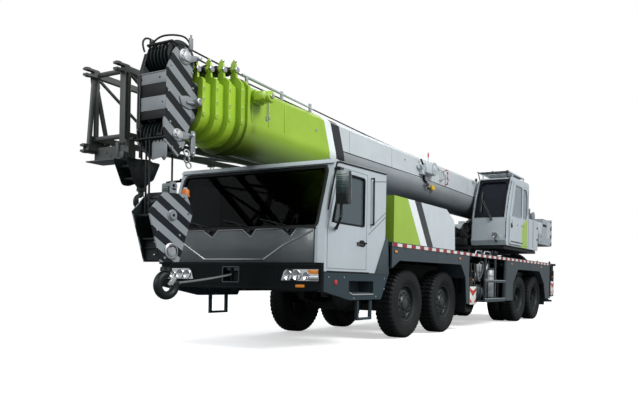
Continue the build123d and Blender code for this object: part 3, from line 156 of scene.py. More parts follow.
def makeRelief():
    tree, given, result = startGroup(
        "fineRelief",
        [("Scale", floatSocket, 60.0), ("Strength", floatSocket, 0.1), ("Depth", floatSocket, 0.002)],
        [("Normal", vectorSocket)])
    spot = put(tree, "ShaderNodeTexCoord")
    grain = put(tree, "ShaderNodeTexNoise", {"Detail": 3.0, "Roughness": 0.5})
    tree.links.new(spot.outputs["Object"], grain.inputs["Vector"])
    tree.links.new(given.outputs["Scale"], grain.inputs["Scale"])
    bump = put(tree, "ShaderNodeBump")
    tree.links.new(grain.outputs["Fac"], bump.inputs["Height"])
    tree.links.new(given.outputs["Strength"], bump.inputs["Strength"])
    tree.links.new(given.outputs["Depth"], bump.inputs["Distance"])
    tree.links.new(bump.outputs[0], result.inputs["Normal"])
    return tree


def makeStripes():
    tree, given, result = startGroup(
        "stripes",
        [("Direction", vectorSocket, (1, 0, 0)), ("Pitch", floatSocket, 0.3), ("Fill", floatSocket, 0.5),
         ("Shift", floatSocket, 0.0)],
        [("Mask", floatSocket)])
    spot = put(tree, "ShaderNodeTexCoord")
    run = put(tree, "ShaderNodeVectorMath", operation="DOT_PRODUCT")
    tree.links.new(spot.outputs["Object"], run.inputs[0])
    tree.links.new(given.outputs["Direction"], run.inputs[1])
    turns = maths(tree, "DIVIDE", maths(tree, "ADD", run.outputs["Value"], given.outputs["Shift"]),
                  given.outputs["Pitch"])
    part = maths(tree, "FRACT", turns)
    tree.links.new(maths(tree, "LESS_THAN", part, given.outputs["Fill"]), result.inputs["Mask"])
    return tree


weathering = makeWeathering()
fineRelief = makeRelief()
stripes = makeStripes()


def useGroup(tree, group, values=None):
    made = tree.nodes.new("ShaderNodeGroup")
    made.node_tree = group
    for key, value in (values or {}).items():
        made.inputs[key].default_value = value
    return made


def finish(name, colour=(0.5, 0.5, 0.5), clean=0.35, dull=0.75, dust=0.25, rise=1.3, grain=60.0,
           relief=0.06, depth=0.002, pattern=None, **shader):
    made = bpy.data.materials.new(name)
    made.use_nodes = True
    tree = made.node_tree
    surface = tree.nodes["Principled BSDF"]
    worn = useGroup(tree, weathering, {"Amount": dust, "Rise": rise, "Clean": clean, "Dull": dull})
    worn.inputs["Color"].default_value = (*colour, 1)
    if pattern:
        tree.links.new(pattern(tree), worn.inputs["Color"])
    tree.links.new(worn.outputs["Color"], surface.inputs["Base Color"])
    tree.links.new(worn.outputs["Roughness"], surface.inputs["Roughness"])
    if relief:
        bumps = useGroup(tree, fineRelief, {"Scale": grain, "Strength": relief, "Depth": depth})
        tree.links.new(bumps.outputs["Normal"], surface.inputs["Normal"])
    for key, value in shader.items():
        surface.inputs[key.replace("_", " ")].default_value = value
    made.diffuse_color = (*colour, 1)
    return made


# Patterns that need more than one colour
def slantRun(tree, slope, level):
    spot = put(tree, "ShaderNodeTexCoord")
    split = put(tree, "ShaderNodeSeparateXYZ")
    tree.links.new(spot.outputs["Object"], split.inputs[0])
    lift = maths(tree, "MULTIPLY", maths(tree, "SUBTRACT", split.outputs["Z"], level), slope)
    return maths(tree, "SUBTRACT", split.outputs["X"], lift), split


def bands(slope, level, edges, colours):
    def paintBands(tree):
        run = slantRun(tree, slope, level)[0]
        result = (*colours[0], 1)
        for edge, colour in zip(edges, colours[1:]):
            result = mixColour(tree, maths(tree, "GREATER_THAN", run, edge), result, (*colour, 1))
        return result
    return paintBands


def striped(first, second, direction, pitch, fill=0.5, shift=0.0):
    def paintStripes(tree):
        mask = useGroup(tree, stripes, {"Direction": direction, "Pitch": pitch, "Fill": fill, "Shift": shift})
        return mixColour(tree, mask.outputs["Mask"], (*first, 1), (*second, 1))
    return paintStripes


def outsideOf(reach, inner, outer):
    def paintOutside(tree):
        split = slantRun(tree, 0, 0)[1]
        far = maths(tree, "GREATER_THAN", maths(tree, "ABSOLUTE", split.outputs["Y"]), reach)
        return mixColour(tree, far, (*inner, 1), (*outer, 1))
    return paintOutside


# Where the painted bands lie on the hook block, the boom and the operator's cab, and where the painted shade
# on the boom's belly begins and how fast it deepens
hookBands = {"direction": (-0.62, 0, 1.0), "pitch": 0.205, "shift": 0.03, "plateSide": 0.1215,
             "castTop": 1.075}
boomBands = {"slope": 0.38, "level": 2.95, "edges": (3.17, 3.4, 3.57), "seam": 2.955, "shadeTop": 2.9,
             "shadeGrowth": 2.4, "shadeMost": 0.86}
cabBands = {"rear": -3.77, "front": -3.21, "slope": -0.42, "level": 0.953, "screenRear": -2.62}


def hookStripe(tree):
    split = slantRun(tree, 0, 0)[1]
    mask = useGroup(tree, stripes, {"Direction": hookBands["direction"], "Pitch": hookBands["pitch"],
                                    "Fill": 0.5, "Shift": hookBands["shift"]})
    plate = mixColour(tree, mask.outputs["Mask"], (0.3, 0.33, 0.35, 1), (*stripeBlack, 1))
    outer = maths(tree, "GREATER_THAN", maths(tree, "ABSOLUTE", split.outputs["Y"]), hookBands["plateSide"])
    above = maths(tree, "GREATER_THAN", split.outputs["Z"], hookBands["castTop"])
    return mixColour(tree, maths(tree, "MULTIPLY", outer, above), (0.009, 0.014, 0.014, 1), plate)


def boomBandsAndShade(tree):
    slope, level, edges = boomBands["slope"], boomBands["level"], boomBands["edges"]
    upper = bands(slope, level, edges, (boomGrey, stripeBlack, bandWhite, limeGreen))(tree)
    run, split = slantRun(tree, slope, level)
    # below the seam the grey part takes a darker copy of the boom grey: painted shade on the tube's lower
    # half
    below = maths(tree, "LESS_THAN", split.outputs["Z"], boomBands["seam"])
    grey = maths(tree, "LESS_THAN", run, edges[0])
    coat = mixColour(tree, maths(tree, "MULTIPLY", below, grey), upper, (*boomShadedGrey, 1))
    # painted shade that deepens towards the belly of the tube, darkening its underside towards black
    depth = maths(tree, "SUBTRACT", boomBands["shadeTop"], split.outputs["Z"])
    paintedShade = maths(tree, "MULTIPLY", depth, boomBands["shadeGrowth"], clamp=True)
    return mixColour(tree, maths(tree, "MULTIPLY", paintedShade, boomBands["shadeMost"]), coat, (*inkBlack, 1))


# the mirror shell is black below and paler grey-green in steps towards its top: a painted sheen of light from
# above
def mirrorPaintedSheen(tree):
    height = slantRun(tree, 0, 0)[1].outputs["Z"]
    result = (*inkBlack, 1)
    for edge, colour in ((2.0, (0.012, 0.03, 0.03)), (2.08, (0.03, 0.07, 0.066)), (2.15, (0.09, 0.15, 0.14)),
                         (2.21, (0.22, 0.28, 0.27))):
        result = mixColour(tree, maths(tree, "GREATER_THAN", height, edge), result, (*colour, 1))
    return result


# rear and side panes painted pale blue-grey, a painted reflection; the front pane, ahead of screenRear,
# painted near-black, painted shade of the cab inside
def paneSheenAndShade(tree):
    split = slantRun(tree, 0, 0)[1]
    front = maths(tree, "GREATER_THAN", split.outputs["X"], cabBands["screenRear"])
    return mixColour(tree, front, (0.36, 0.43, 0.47, 1), (0.012, 0.016, 0.026, 1))


def cabStripe(tree):
    split = slantRun(tree, 0, 0)[1]
    rear = maths(tree, "GREATER_THAN", split.outputs["X"], cabBands["rear"])
    ahead = maths(tree, "LESS_THAN", split.outputs["X"], cabBands["front"])
    slant = maths(tree, "MULTIPLY", split.outputs["X"], cabBands["slope"])
    top = maths(tree, "LESS_THAN", split.outputs["Z"], maths(tree, "ADD", slant, cabBands["level"]))
    mask = maths(tree, "MULTIPLY", maths(tree, "MULTIPLY", rear, ahead), top)
    return mixColour(tree, mask, (*cabWhite, 1), (*limeGreen, 1))


limeGreen = (0.335, 0.53, 0.035)
cabWhite = (0.5, 0.565, 0.6)
hoodGrey = (0.6, 0.66, 0.69)
boomGrey = (0.56, 0.61, 0.63)
# darker copy of the boom grey for the tube's lower half: painted shade
boomShadedGrey = (0.30, 0.33, 0.345)
bandWhite = (0.88, 0.93, 0.94)
stripeBlack = (0.009, 0.012, 0.016)
charcoal = (0.04, 0.06, 0.07)
inkBlack = (0.007, 0.011, 0.012)

paints = {
    "lime": finish("limePaint", (0.40, 0.63, 0.04), clean=0.3, dust=0.08, relief=0.03, Coat_Weight=0.3,
                   Coat_Roughness=0.12),
    "boom": finish("boomPaint", boomGrey, clean=0.34, dust=0.10, relief=0.03, Coat_Weight=0.15,
                   Coat_Roughness=0.15, pattern=boomBandsAndShade),
    "hood": finish("hoodPaint", cabWhite, clean=0.32, dust=0.25, rise=2.2, relief=0.03, Coat_Weight=0.3,
                   pattern=bands(0.686, 1.85, (2.125, 2.355, 2.59),
                                 (hoodGrey, stripeBlack, bandWhite, limeGreen))),
    "white": finish("cabPaint", cabWhite, clean=0.3, dust=0.22, rise=1.8, relief=0.025, Coat_Weight=0.4,
                    Coat_Roughness=0.1),
    "door": finish("doorPaint", cabWhite, clean=0.3, dust=0.22, rise=1.8, relief=0.025, Coat_Weight=0.4,
                   Coat_Roughness=0.1, pattern=outsideOf(1.3335, cabWhite, (0.012, 0.012, 0.013))),
    # the bumper's front face, ahead of x 5.052, is painted near-black, darker than its sides: painted shade
    # on the front face
    "bumper": finish("bumperPaint", charcoal, clean=0.42, dust=0.03, rise=1.3, relief=0.05,
                     Specular_IOR_Level=0.08,
                     pattern=bands(0, 0, (5.052,), (charcoal, (0.005, 0.008, 0.009)))),
    "opCab": finish("operatorCabPaint", cabWhite, clean=0.3, dust=0.12, relief=0.025, Coat_Weight=0.35,
                    pattern=cabStripe),
    "grey": finish("greyPaint", boomGrey, clean=0.4, dust=0.2, relief=0.04),
    "charcoal": finish("charcoalPaint", charcoal, clean=0.42, dust=0.16, rise=1.5, relief=0.05),
    "black": finish("framePaint", (0.010, 0.012, 0.013), clean=0.48, dust=0.05, rise=1.4, relief=0.07,
                    Specular_IOR_Level=0.3),
    "greaseBlack": finish("greasyCast", (0.009, 0.014, 0.014), clean=0.34, dust=0.03, relief=0.2, grain=90.0,
                          Specular_IOR_Level=0.35),
    "panel": finish("metallicPanel", (0.115, 0.132, 0.138), clean=0.36, dust=0.06, relief=0.02, Metallic=0.45,
                    Coat_Weight=0.4, Coat_Roughness=0.08),
    "head": finish("headPaint", (0.36, 0.38, 0.4), clean=0.45, dust=0.02, relief=0.05, Specular_IOR_Level=0.3,
                   pattern=striped((0.28, 0.305, 0.32), (0.004, 0.006, 0.008), (-0.75, 0, 1.0), 0.235, 0.5,
                                   0.07)),
    "headLight": finish("headLightPaint", (0.25, 0.275, 0.29), clean=0.38, dust=0.05, relief=0.05),
    "slab": finish("slabPaint", (0.38, 0.43, 0.46), clean=0.4, dust=0.12, relief=0.05),
    "headPlain": finish("headGreyPaint", (0.36, 0.38, 0.4), clean=0.4, dust=0.25, relief=0.05),
    "hook": finish("hookPaint", (0.36, 0.38, 0.4), clean=0.4, dust=0.02, relief=0.05, Specular_IOR_Level=0.3,
                   pattern=hookStripe),
    "jib": finish("jibPaint", (0.082, 0.088, 0.086), clean=0.45, dust=0.05, relief=0.06),
    "chrome": finish("brightChrome", (0.8, 0.81, 0.82), clean=0.06, dull=0.3, dust=0.05, relief=0,
                     Metallic=1.0),
    "steel": finish("rodSteel", (0.6, 0.61, 0.63), clean=0.2, dull=0.4, dust=0.1, relief=0.02, grain=200,
                    Metallic=1.0),
    "step": finish("stepAluminium", (0.62, 0.63, 0.64), clean=0.35, dust=0.2, relief=0.3, grain=220,
                   Metallic=0.8),
    "glass": finish("tintedGlass", (0.06, 0.075, 0.078), clean=0.03, dull=0.2, dust=0.0, relief=0,
                    Transmission_Weight=1.0, IOR=1.2),
    "sideGlass": finish("sideWindowGlass", (0.16, 0.215, 0.235), clean=0.05, dull=0.2, dust=0.0, relief=0,
                        Transmission_Weight=0.55, IOR=1.45),
    "paneGlass": finish("cabinGlass", (0.3, 0.36, 0.4), clean=0.06, dull=0.2, dust=0.0, relief=0,
                        Transmission_Weight=0.4, IOR=1.35, pattern=paneSheenAndShade),
    # pale base colour on partly opaque glass: a painted reflection
    "paleGlass": finish("paleCabinGlass", (0.36, 0.43, 0.47), clean=0.06, dull=0.2, dust=0.0, relief=0,
                        Transmission_Weight=0.4, IOR=1.4),
    "lens": finish("lampLens", (0.85, 0.87, 0.88), clean=0.04, dull=0.2, dust=0.05, relief=0,
                   Transmission_Weight=0.9, IOR=1.45),
    "amber": finish("amberLens", (0.85, 0.28, 0.02), clean=0.15, dust=0.08, relief=0.1, grain=300,
                    Coat_Weight=0.5),
    "red": finish("redLens", (0.6, 0.02, 0.015), clean=0.15, dust=0.1, relief=0.1, grain=300,
                  Coat_Weight=0.5),
    "tyre": finish("tyreRubber", (0.010, 0.012, 0.013), clean=0.6, dull=0.9, dust=0.05, rise=1.1, relief=0.25,
                   grain=140.0, Specular_IOR_Level=0.25),
    "trim": finish("blackRubber", (0.006, 0.008, 0.009), clean=0.5, dust=0.01, relief=0.1,
                   Specular_IOR_Level=0.25),
    "seam": finish("seamShade", (0.15, 0.18, 0.195), clean=0.5, dust=0.02, relief=0.0),
    "mirror": finish("mirrorShell", (0.02, 0.035, 0.035), clean=0.2, dust=0.01, relief=0.0,
                     pattern=mirrorPaintedSheen),
    "plastic": finish("blackPlastic", (0.008, 0.010, 0.011), clean=0.35, dust=0.02, relief=0.12, grain=260,
                      Specular_IOR_Level=0.35),
    "rim": finish("rimPaint", (0.022, 0.03, 0.032), clean=0.36, dust=0.06, rise=1.2, relief=0.08),
    "cast": finish("castGrey", (0.035, 0.04, 0.042), clean=0.45, dust=0.1, relief=0.25, grain=70),
    "rope": finish("steelRope", (0.05, 0.05, 0.052), clean=0.4, dust=0.1, relief=0.0, Metallic=0.5),
    "board": finish("boardWhite", (0.82, 0.8, 0.77), clean=0.4, dust=0.05, relief=0.02),
    "boardRed": finish("boardRed", (0.5, 0.03, 0.014), clean=0.4, dust=0.05, relief=0.02),
    "mooring": finish("mooringSteel", (0.2, 0.21, 0.21), clean=0.5, dust=0.1, relief=0.0),
    "tape": finish("reflectTape", (0.8, 0.8, 0.8), clean=0.3, dust=0.2, rise=2.0, relief=0.15, grain=300,
                   pattern=striped((0.75, 0.75, 0.73), (0.30, 0.010, 0.016), (1, 0, 0), 0.305, 0.5, 0.2003)),
    "hazard": finish("hazardPaint", (0.8, 0.8, 0.8), clean=0.4, dust=0.05, relief=0.05,
                     pattern=striped((0.5, 0.54, 0.56), stripeBlack, (0.3, 0, 0.7), 0.16, 0.5)),
    "fabric": finish("seatFabric", (0.05, 0.053, 0.058), clean=0.85, dull=0.95, dust=0.1, relief=0.5,
                     grain=420, depth=0.001, Sheen_Weight=0.2),
    "yellow": finish("yellowPaint", (0.75, 0.5, 0.03), clean=0.4, dust=0.15, relief=0.05),
    "orange": finish("orangePaint", (0.7, 0.2, 0.02), clean=0.4, dust=0.2, relief=0.05),
}
print("materials:", len(paints))

# Mesh helpers, all in metres in the frame of the part
toPlace = {"xz": lambda a, b, c: (a, c, b), "yz": lambda a, b, c: (c, a, b)}


def cornerEdges(faces, limit=0.5):
    edges = {edge for face in faces for edge in face.edges}
    return [edge for edge in edges if len(edge.link_faces) == 2 and edge.calc_face_angle(0) > limit]


def softenEdges(bm, faces, width, segments=2):
    bmesh.ops.bevel(bm, geom=cornerEdges(faces), offset=width, offset_type="OFFSET", affect="EDGES",
                    segments=segments, profile=0.5, material=-1, clamp_overlap=True)


def addBox(bm, low, high, bevel=0.0, paint=0, turn=None, segments=2):
    verts = bmesh.ops.create_cube(bm, size=1)["verts"]
    bmesh.ops.scale(bm, vec=[b - a for a, b in zip(low, high)], verts=verts)
    if turn:
        bmesh.ops.rotate(bm, cent=(0, 0, 0), matrix=turn, verts=verts)
    bmesh.ops.translate(bm, vec=[(a + b) / 2 for a, b in zip(low, high)], verts=verts)
    faces = {face for vert in verts for face in vert.link_faces}
    for face in faces:
        face.material_index = paint
    if bevel:
        softenEdges(bm, faces, bevel, segments)


def addBar(bm, start, end, radius, sides=12, paint=0, bevel=0.0):
    run = Vector(end) - Vector(start)
    turned = run.to_track_quat("Z", "Y").to_matrix().to_4x4()
    turned.translation = (Vector(start) + Vector(end)) / 2
    verts = bmesh.ops.create_cone(bm, cap_ends=True, segments=sides, radius1=radius, radius2=radius,
                                  depth=run.length, matrix=turned)["verts"]
    faces = {face for vert in verts for face in vert.link_faces}
    for face in faces:
        face.material_index = paint
    if bevel:
        softenEdges(bm, [face for face in faces if len(face.verts) == sides], bevel)


def addBall(bm, centre, radius, paint=0, squash=(1, 1, 1), detail=2):
    verts = bmesh.ops.create_icosphere(bm, subdivisions=detail, radius=radius)["verts"]
    bmesh.ops.scale(bm, vec=squash, verts=verts)
    bmesh.ops.translate(bm, vec=centre, verts=verts)
    for face in {face for vert in verts for face in vert.link_faces}:
        face.material_index = paint


def addPlate(bm, outline, plane, start, end, corner=0.0, bevel=0.0, paint=0, hollow=0.0, steps=4):
    place = toPlace[plane]
    face = bm.faces.new([bm.verts.new(place(a, b, start)) for a, b in outline])
    face.material_index = paint
    if corner:
        made = bmesh.ops.bevel(bm, geom=list(face.verts), offset=corner, offset_type="OFFSET",
                               affect="VERTICES",
                               segments=steps, profile=0.5, material=-1, clamp_overlap=True)
        face = max({f for v in made["verts"] for f in v.link_faces}, key=lambda f: f.calc_area())
    faces = [face]
    if hollow:
        faces = bmesh.ops.inset_region(bm, faces=[face], thickness=hollow, use_even_offset=True,
                                       use_boundary=True)["faces"]
        bmesh.ops.delete(bm, geom=[face], context="FACES_ONLY")
    grown = bmesh.ops.extrude_face_region(bm, geom=faces, use_keep_orig=True)["geom"]
    moved = [item for item in grown if isinstance(item, bmesh.types.BMVert)]
    bmesh.ops.translate(bm, vec=Vector(place(0, 0, end - start)), verts=moved)
    around = {f for v in moved for f in v.link_faces} | set(faces)
    bmesh.ops.recalc_face_normals(bm, faces=list(around))
    for item in around:
        item.material_index = paint
    if bevel:
        softenEdges(bm, around, bevel)


def addLathe(bm, profile, centre, axis, steps=48, paint=0, closed=True):
    axis = Vector(axis).normalized()
    out = axis.orthogonal().normalized()
    verts = [bm.verts.new(Vector(centre) + out * radius + axis * along) for radius, along in profile]
    edges = [bm.edges.new(pair) for pair in zip(verts, verts[1:])]
    if closed:
        edges.append(bm.edges.new((verts[-1], verts[0])))
    before = set(bm.faces)
    bmesh.ops.spin(bm, geom=verts + edges, cent=centre, axis=axis, dvec=(0, 0, 0), angle=2 * pi, steps=steps,
                   use_merge=True, use_duplicate=False)
    made = [face for face in bm.faces if face not in before]
    bmesh.ops.remove_doubles(bm, verts=list({v for f in made for v in f.verts}), dist=0.00002)
    for face in made:
        if face.is_valid:
            face.material_index = paint


def addRing(bm, inner, outer, half, centre, axis, steps, paint=0):
    profile = [(inner, -half), (outer, -half), (outer, half), (inner, half)]
    addLathe(bm, profile, centre, axis, steps=steps, paint=paint)


def shiftCopies(bm, source, moves):
    for move in moves:
        made = bmesh.ops.duplicate(bm, geom=source)["geom"]
        verts = [item for item in made if isinstance(item, bmesh.types.BMVert)]
        bmesh.ops.transform(bm, matrix=move, verts=verts)


def newGeometry(bm, before):
    faces = [face for face in bm.faces if face not in before]
    return list({v for f in faces for v in f.verts} | {e for f in faces for e in f.edges} | set(faces))


def asPiece(name, bm, body, slotName, *finishes, smooth=32):
    bmesh.ops.recalc_face_normals(bm, faces=bm.faces)
    mesh = bpy.data.meshes.new(name)
    bm.to_mesh(mesh)
    bm.free()
    for used in finishes:
        mesh.materials.append(paints[used])
    mesh.shade_smooth()
    mesh.set_sharp_from_angle(angle=radians(smooth))
    piece = bpy.data.objects.new(name, mesh)
    bpy.context.scene.collection.objects.link(piece)
    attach(piece, body)
    return piece


def addWire(name, runs, radius, body, used, kind="POLY", sides=3):
    curve = bpy.data.curves.new(name, "CURVE")
    curve.dimensions = "3D"
    curve.bevel_depth = radius
    curve.bevel_resolution = sides
    curve.use_fill_caps = True
    curve.resolution_u = 6
    for points in runs:
        spline = curve.splines.new(kind)
        spline.points.add(len(points) - 1)
        for point, place in zip(spline.points, points):
            point.co = (*place, 1)
        if kind == "NURBS":
            spline.order_u = 3
            spline.use_endpoint_u = True
    holder = bpy.data.objects.new(name, curve)
    bpy.context.scene.collection.objects.link(holder)
    mesh = bpy.data.meshes.new_from_object(holder.evaluated_get(bpy.context.evaluated_depsgraph_get()))
    bpy.data.objects.remove(holder)
    mesh.name = name
    mesh.materials.clear()
    mesh.materials.append(paints[used])
    mesh.shade_smooth()
    piece = bpy.data.objects.new(name, mesh)
    bpy.context.scene.collection.objects.link(piece)
    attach(piece, body)
    return piece


def dress(used, *names):
    for name in names:
        mesh = cadNodes[name].data
        mesh.materials.clear()
        mesh.materials.append(paints[used])


sideNames = (("left", 1), ("right", -1))
carrierSize = {"half": 1.375, "axles": (2.45, 1.0, -3.3, -4.65)}
dress("black", "chassis_frame", "frame_rails", "axle_beams", "leaf_springs", "outrigger_boxes", "turntable",
      "luff_barrel")
dress("cast", "engine_block")
dress("greaseBlack", "head_sheaves")
dress("charcoal", "deck", "side_skirts", "service_bay")
dress("bumper", "front_bumper")
dress("hood", "engine_hood")
dress("white", "cab_shell")
dress("door", "cab_door_left", "cab_door_right")
dress("glass", "cab_glass")
dress("sideGlass", "door_glass_left", "door_glass_right")
dress("paneGlass", "operator_glass")
dress("paleGlass", "operator_door_glass")
dress("plastic", "cab_seats", "cab_dashboard", "operator_seat")
dress("lens", "headlamps")
for side in ("left", "right"):
    dress("black", f"knuckle_1_{side}", f"knuckle_2_{side}")
    dress("black", *[f"{part}_{end}_{side}" for part in ("beam", "jack") for end in ("front", "rear")])
dress("slab", "counterweight")
dress("headPlain", "winches")
dress("opCab", "operator_cab", "operator_door")
dress("boom", "boom_section_1")
dress("lime", "boom_section_2", "boom_section_3", "boom_section_4")
dress("head", "boom_section_5")
dress("jib", "jib")
dress("steel", "luff_rod")
dress("hook", "hook_block")
dress("greaseBlack", "aux_hook")
dress("tyre", "spare_wheel")
print("frame dressed")

# Studio: pale floor, soft light
studio = {"floor": (0.15, 0.155, 0.16), "seen": (0.97, 0.97, 0.97), "sky": (0.93, 0.96, 1.0),
          "skyStrength": 0.55, "glow": 0.5, "reach": 120}


def makeStudio(settings):
    world = bpy.data.worlds.new("studioSky")
    bpy.context.scene.world = world
    world.use_nodes = True
    tree = world.node_tree
    tree.nodes.clear()
    light = put(tree, "ShaderNodeBackground", {"Color": (*settings["sky"], 1),
                                               "Strength": settings["skyStrength"]})
    seen = put(tree, "ShaderNodeBackground", {"Color": (1, 1, 1, 1), "Strength": 1.0})
    rays = put(tree, "ShaderNodeLightPath")
    mixed = put(tree, "ShaderNodeMixShader")
    tree.links.new(rays.outputs["Is Camera Ray"], mixed.inputs[0])
    tree.links.new(light.outputs[0], mixed.inputs[1])
    tree.links.new(seen.outputs[0], mixed.inputs[2])
    out = put(tree, "ShaderNodeOutputWorld")
    tree.links.new(mixed.outputs[0], out.inputs[0])
    bm = bmesh.new()
    bmesh.ops.create_grid(bm, x_segments=1, y_segments=1, size=settings["reach"])
    mesh = bpy.data.meshes.new("floor")
    bm.to_mesh(mesh)
    bm.free()
    floor = bpy.data.objects.new("floor", mesh)
    floor.location.z = -0.003
    bpy.context.scene.collection.objects.link(floor)
    pale = bpy.data.materials.new("paleFloor")
    pale.use_nodes = True
    tree = pale.node_tree
    base = tree.nodes["Principled BSDF"]
    rays = put(tree, "ShaderNodeLightPath")
    shown = rays.outputs["Is Camera Ray"]
    tree.links.new(mixColour(tree, shown, (*settings["floor"], 1), (*settings["seen"], 1)),
                   base.inputs["Base Color"])
    base.inputs["Roughness"].default_value = 0.95
    base.inputs["Specular IOR Level"].default_value = 0.1
    base.inputs["Emission Color"].default_value = (1, 1, 1, 1)
    tree.links.new(maths(tree, "MULTIPLY", shown, settings["glow"]), base.inputs["Emission Strength"])
    mesh.materials.append(pale)


def softLamp(name, place, aim, size, power):
    lamp = bpy.data.lights.new(name, "AREA")
    lamp.shape = "DISK"
    lamp.size = size
    lamp.energy = power
    holder = bpy.data.objects.new(name, lamp)
    holder.location = place
    holder.rotation_euler = (Vector(aim) - Vector(place)).to_track_quat("-Z", "Y").to_euler()
    bpy.context.scene.collection.objects.link(holder)


makeStudio(studio)
softLamp("keyLamp", (3.0, 16.0, 14.0), (0, 0, 1.5), 8.0, 3000)
softLamp("frontLamp", (18.0, -3.0, 8.0), (3, 0, 1.8), 8.0, 760)
softLamp("rearLamp", (-14.0, -8.0, 11.0), (-2, 0, 2), 8.0, 700)
print("studio ready")

# Wheels: tyre with lugs, rim with its nuts; made about the Y axis, outer face to +Y, then put in place
tyreSize = {"radius": 0.5625, "lugs": 46, "twinSpacing": 0.34, "frontMiddle": 1.045, "rearMiddle": 1.105,
            "spare": (-6.545, 0, 1.275)}
tyreProfile = [(0.29, -0.112), (0.312, -0.128), (0.345, -0.146), (0.40, -0.154), (0.452, -0.1545),
               (0.497, -0.151),
               (0.528, -0.143), (0.5445, -0.118), (0.5465, -0.06), (0.5465, 0.06), (0.5445, 0.118),
               (0.528, 0.143),
               (0.497, 0.151), (0.452, 0.1545), (0.40, 0.154), (0.345, 0.146), (0.312, 0.128), (0.29, 0.112)]


def addTyre(bm, offset):
    addLathe(bm, [(radius, along + offset) for radius, along in tyreProfile], (0, 0, 0), (0, 1, 0), steps=64)
    for radius in (0.375, 0.43, 0.505):
        for side in (-1, 1):
            rib = offset + side * (0.1505 if radius < 0.4 else 0.1525 if radius < 0.45 else 0.147)
            ring = [(radius - 0.005, rib), (radius, rib + side * 0.004), (radius + 0.005, rib)]
            addLathe(bm, ring, (0, 0, 0), (0, 1, 0), steps=64)
    start = set(bm.faces)
    deep = tyreSize["radius"]
    lug = [(0.062, 0.545), (0.062, deep), (0.116, deep - 0.002), (0.143, 0.541), (0.1545, 0.514),
           (0.149, 0.5)]
    for side in (-1, 1):
        outline = [(offset + side * y, z) for y, z in lug]
        addPlate(bm, outline, "yz", -0.0135 + side * 0.012, 0.0135 + side * 0.012)
        addPlate(bm, [(offset + side * 0.008, 0.545), (offset + side * 0.008, deep),
                      (offset + side * 0.052, deep),
                      (offset + side * 0.052, 0.545)], "yz", -0.02 - side * 0.006, 0.02 - side * 0.006)
    source = newGeometry(bm, start)
    step = 2 * pi / tyreSize["lugs"]
    shiftCopies(bm, source, [Matrix.Rotation(step * turn, 4, "Y") for turn in range(1, tyreSize["lugs"])])


def addNuts(bm, count, ring, along, paint, length=0.03):
    start = set(bm.faces)
    addBar(bm, (0, along, ring), (0, along + length * 0.6, ring), 0.0165, sides=6, paint=paint)
    addBar(bm, (0, along, ring), (0, along + length, ring), 0.0085, sides=8, paint=paint)
    source = newGeometry(bm, start)
    shiftCopies(bm, source, [Matrix.Rotation(2 * pi * turn / count, 4, "Y") for turn in range(1, count)])


# vent holes of the rim drawn as black discs set in its face: painted shade of the openings
def addVents(bm, count, ring, along, size, paint):
    start = set(bm.faces)
    addBar(bm, (0, along - 0.02, ring), (0, along + 0.004, ring), size, sides=16, paint=paint)
    source = newGeometry(bm, start)
    turns = [Matrix.Rotation(2 * pi * (turn + 0.5) / count, 4, "Y") for turn in range(1, count + 1)]
    shiftCopies(bm, source, turns)


def singleWheel():
    bm = bmesh.new()
    addTyre(bm, 0)
    rim = [(0.2895, 0.117), (0.298, 0.122), (0.296, 0.128), (0.283, 0.124), (0.275, 0.108), (0.268, 0.06),
           (0.255, 0.045), (0.236, 0.062), (0.212, 0.078), (0.135, 0.084), (0.128, 0.092), (0.105, 0.112),
           (0.09, 0.117), (0.088, 0.03), (0.13, 0.02), (0.25, 0.01), (0.26, -0.06), (0.272, -0.11),
           (0.296, -0.128), (0.2895, -0.117)]
    addLathe(bm, rim, (0, 0, 0), (0, 1, 0), steps=56, paint=1)
    addLathe(bm, [(0.0, 0.119), (0.05, 0.119), (0.082, 0.113), (0.088, 0.09), (0.0, 0.09)], (0, 0, 0),
             (0, 1, 0), steps=32, paint=2, closed=False)
    addVents(bm, 10, 0.2245, 0.072, 0.0245, 3)
    addNuts(bm, 10, 0.167, 0.082, 2)
    addNuts(bm, 8, 0.104, 0.105, 2, length=0.015)
    return bm


def twinWheel():
    bm = bmesh.new()
    addTyre(bm, 0)
    addTyre(bm, -tyreSize["twinSpacing"])
    rim = [(0.2895, 0.117), (0.298, 0.122), (0.296, 0.128), (0.283, 0.124), (0.275, 0.11), (0.268, 0.06),
           (0.258, -0.10), (0.235, -0.135), (0.205, -0.15), (0.15, -0.155), (0.142, -0.14), (0.13, -0.02),
           (0.12, 0.012), (0.1, 0.018), (0.06, 0.018), (0.06, -0.31), (0.15, -0.31), (0.2, -0.17),
           (0.27, -0.17), (0.272, -0.45), (0.296, -0.468), (0.2895, -0.457)]
    addLathe(bm, rim, (0, 0, 0), (0, 1, 0), steps=56, paint=1)
    addLathe(bm, [(0.0, 0.024), (0.045, 0.024), (0.058, 0.018), (0.06, 0.0), (0.0, 0.0)], (0, 0, 0),
             (0, 1, 0), steps=32, paint=2, closed=False)
    addVents(bm, 8, 0.232, -0.134, 0.026, 3)
    addNuts(bm, 10, 0.178, -0.153, 2)
    addNuts(bm, 8, 0.108, 0.012, 2, length=0.015)
    return bm


def placeWheel(name, bm, matrix, body):
    copy = bm.copy()
    bmesh.ops.transform(copy, matrix=matrix, verts=copy.verts)
    return asPiece(name, copy, body, "tyre", "tyre", "rim", "cast", "trim")


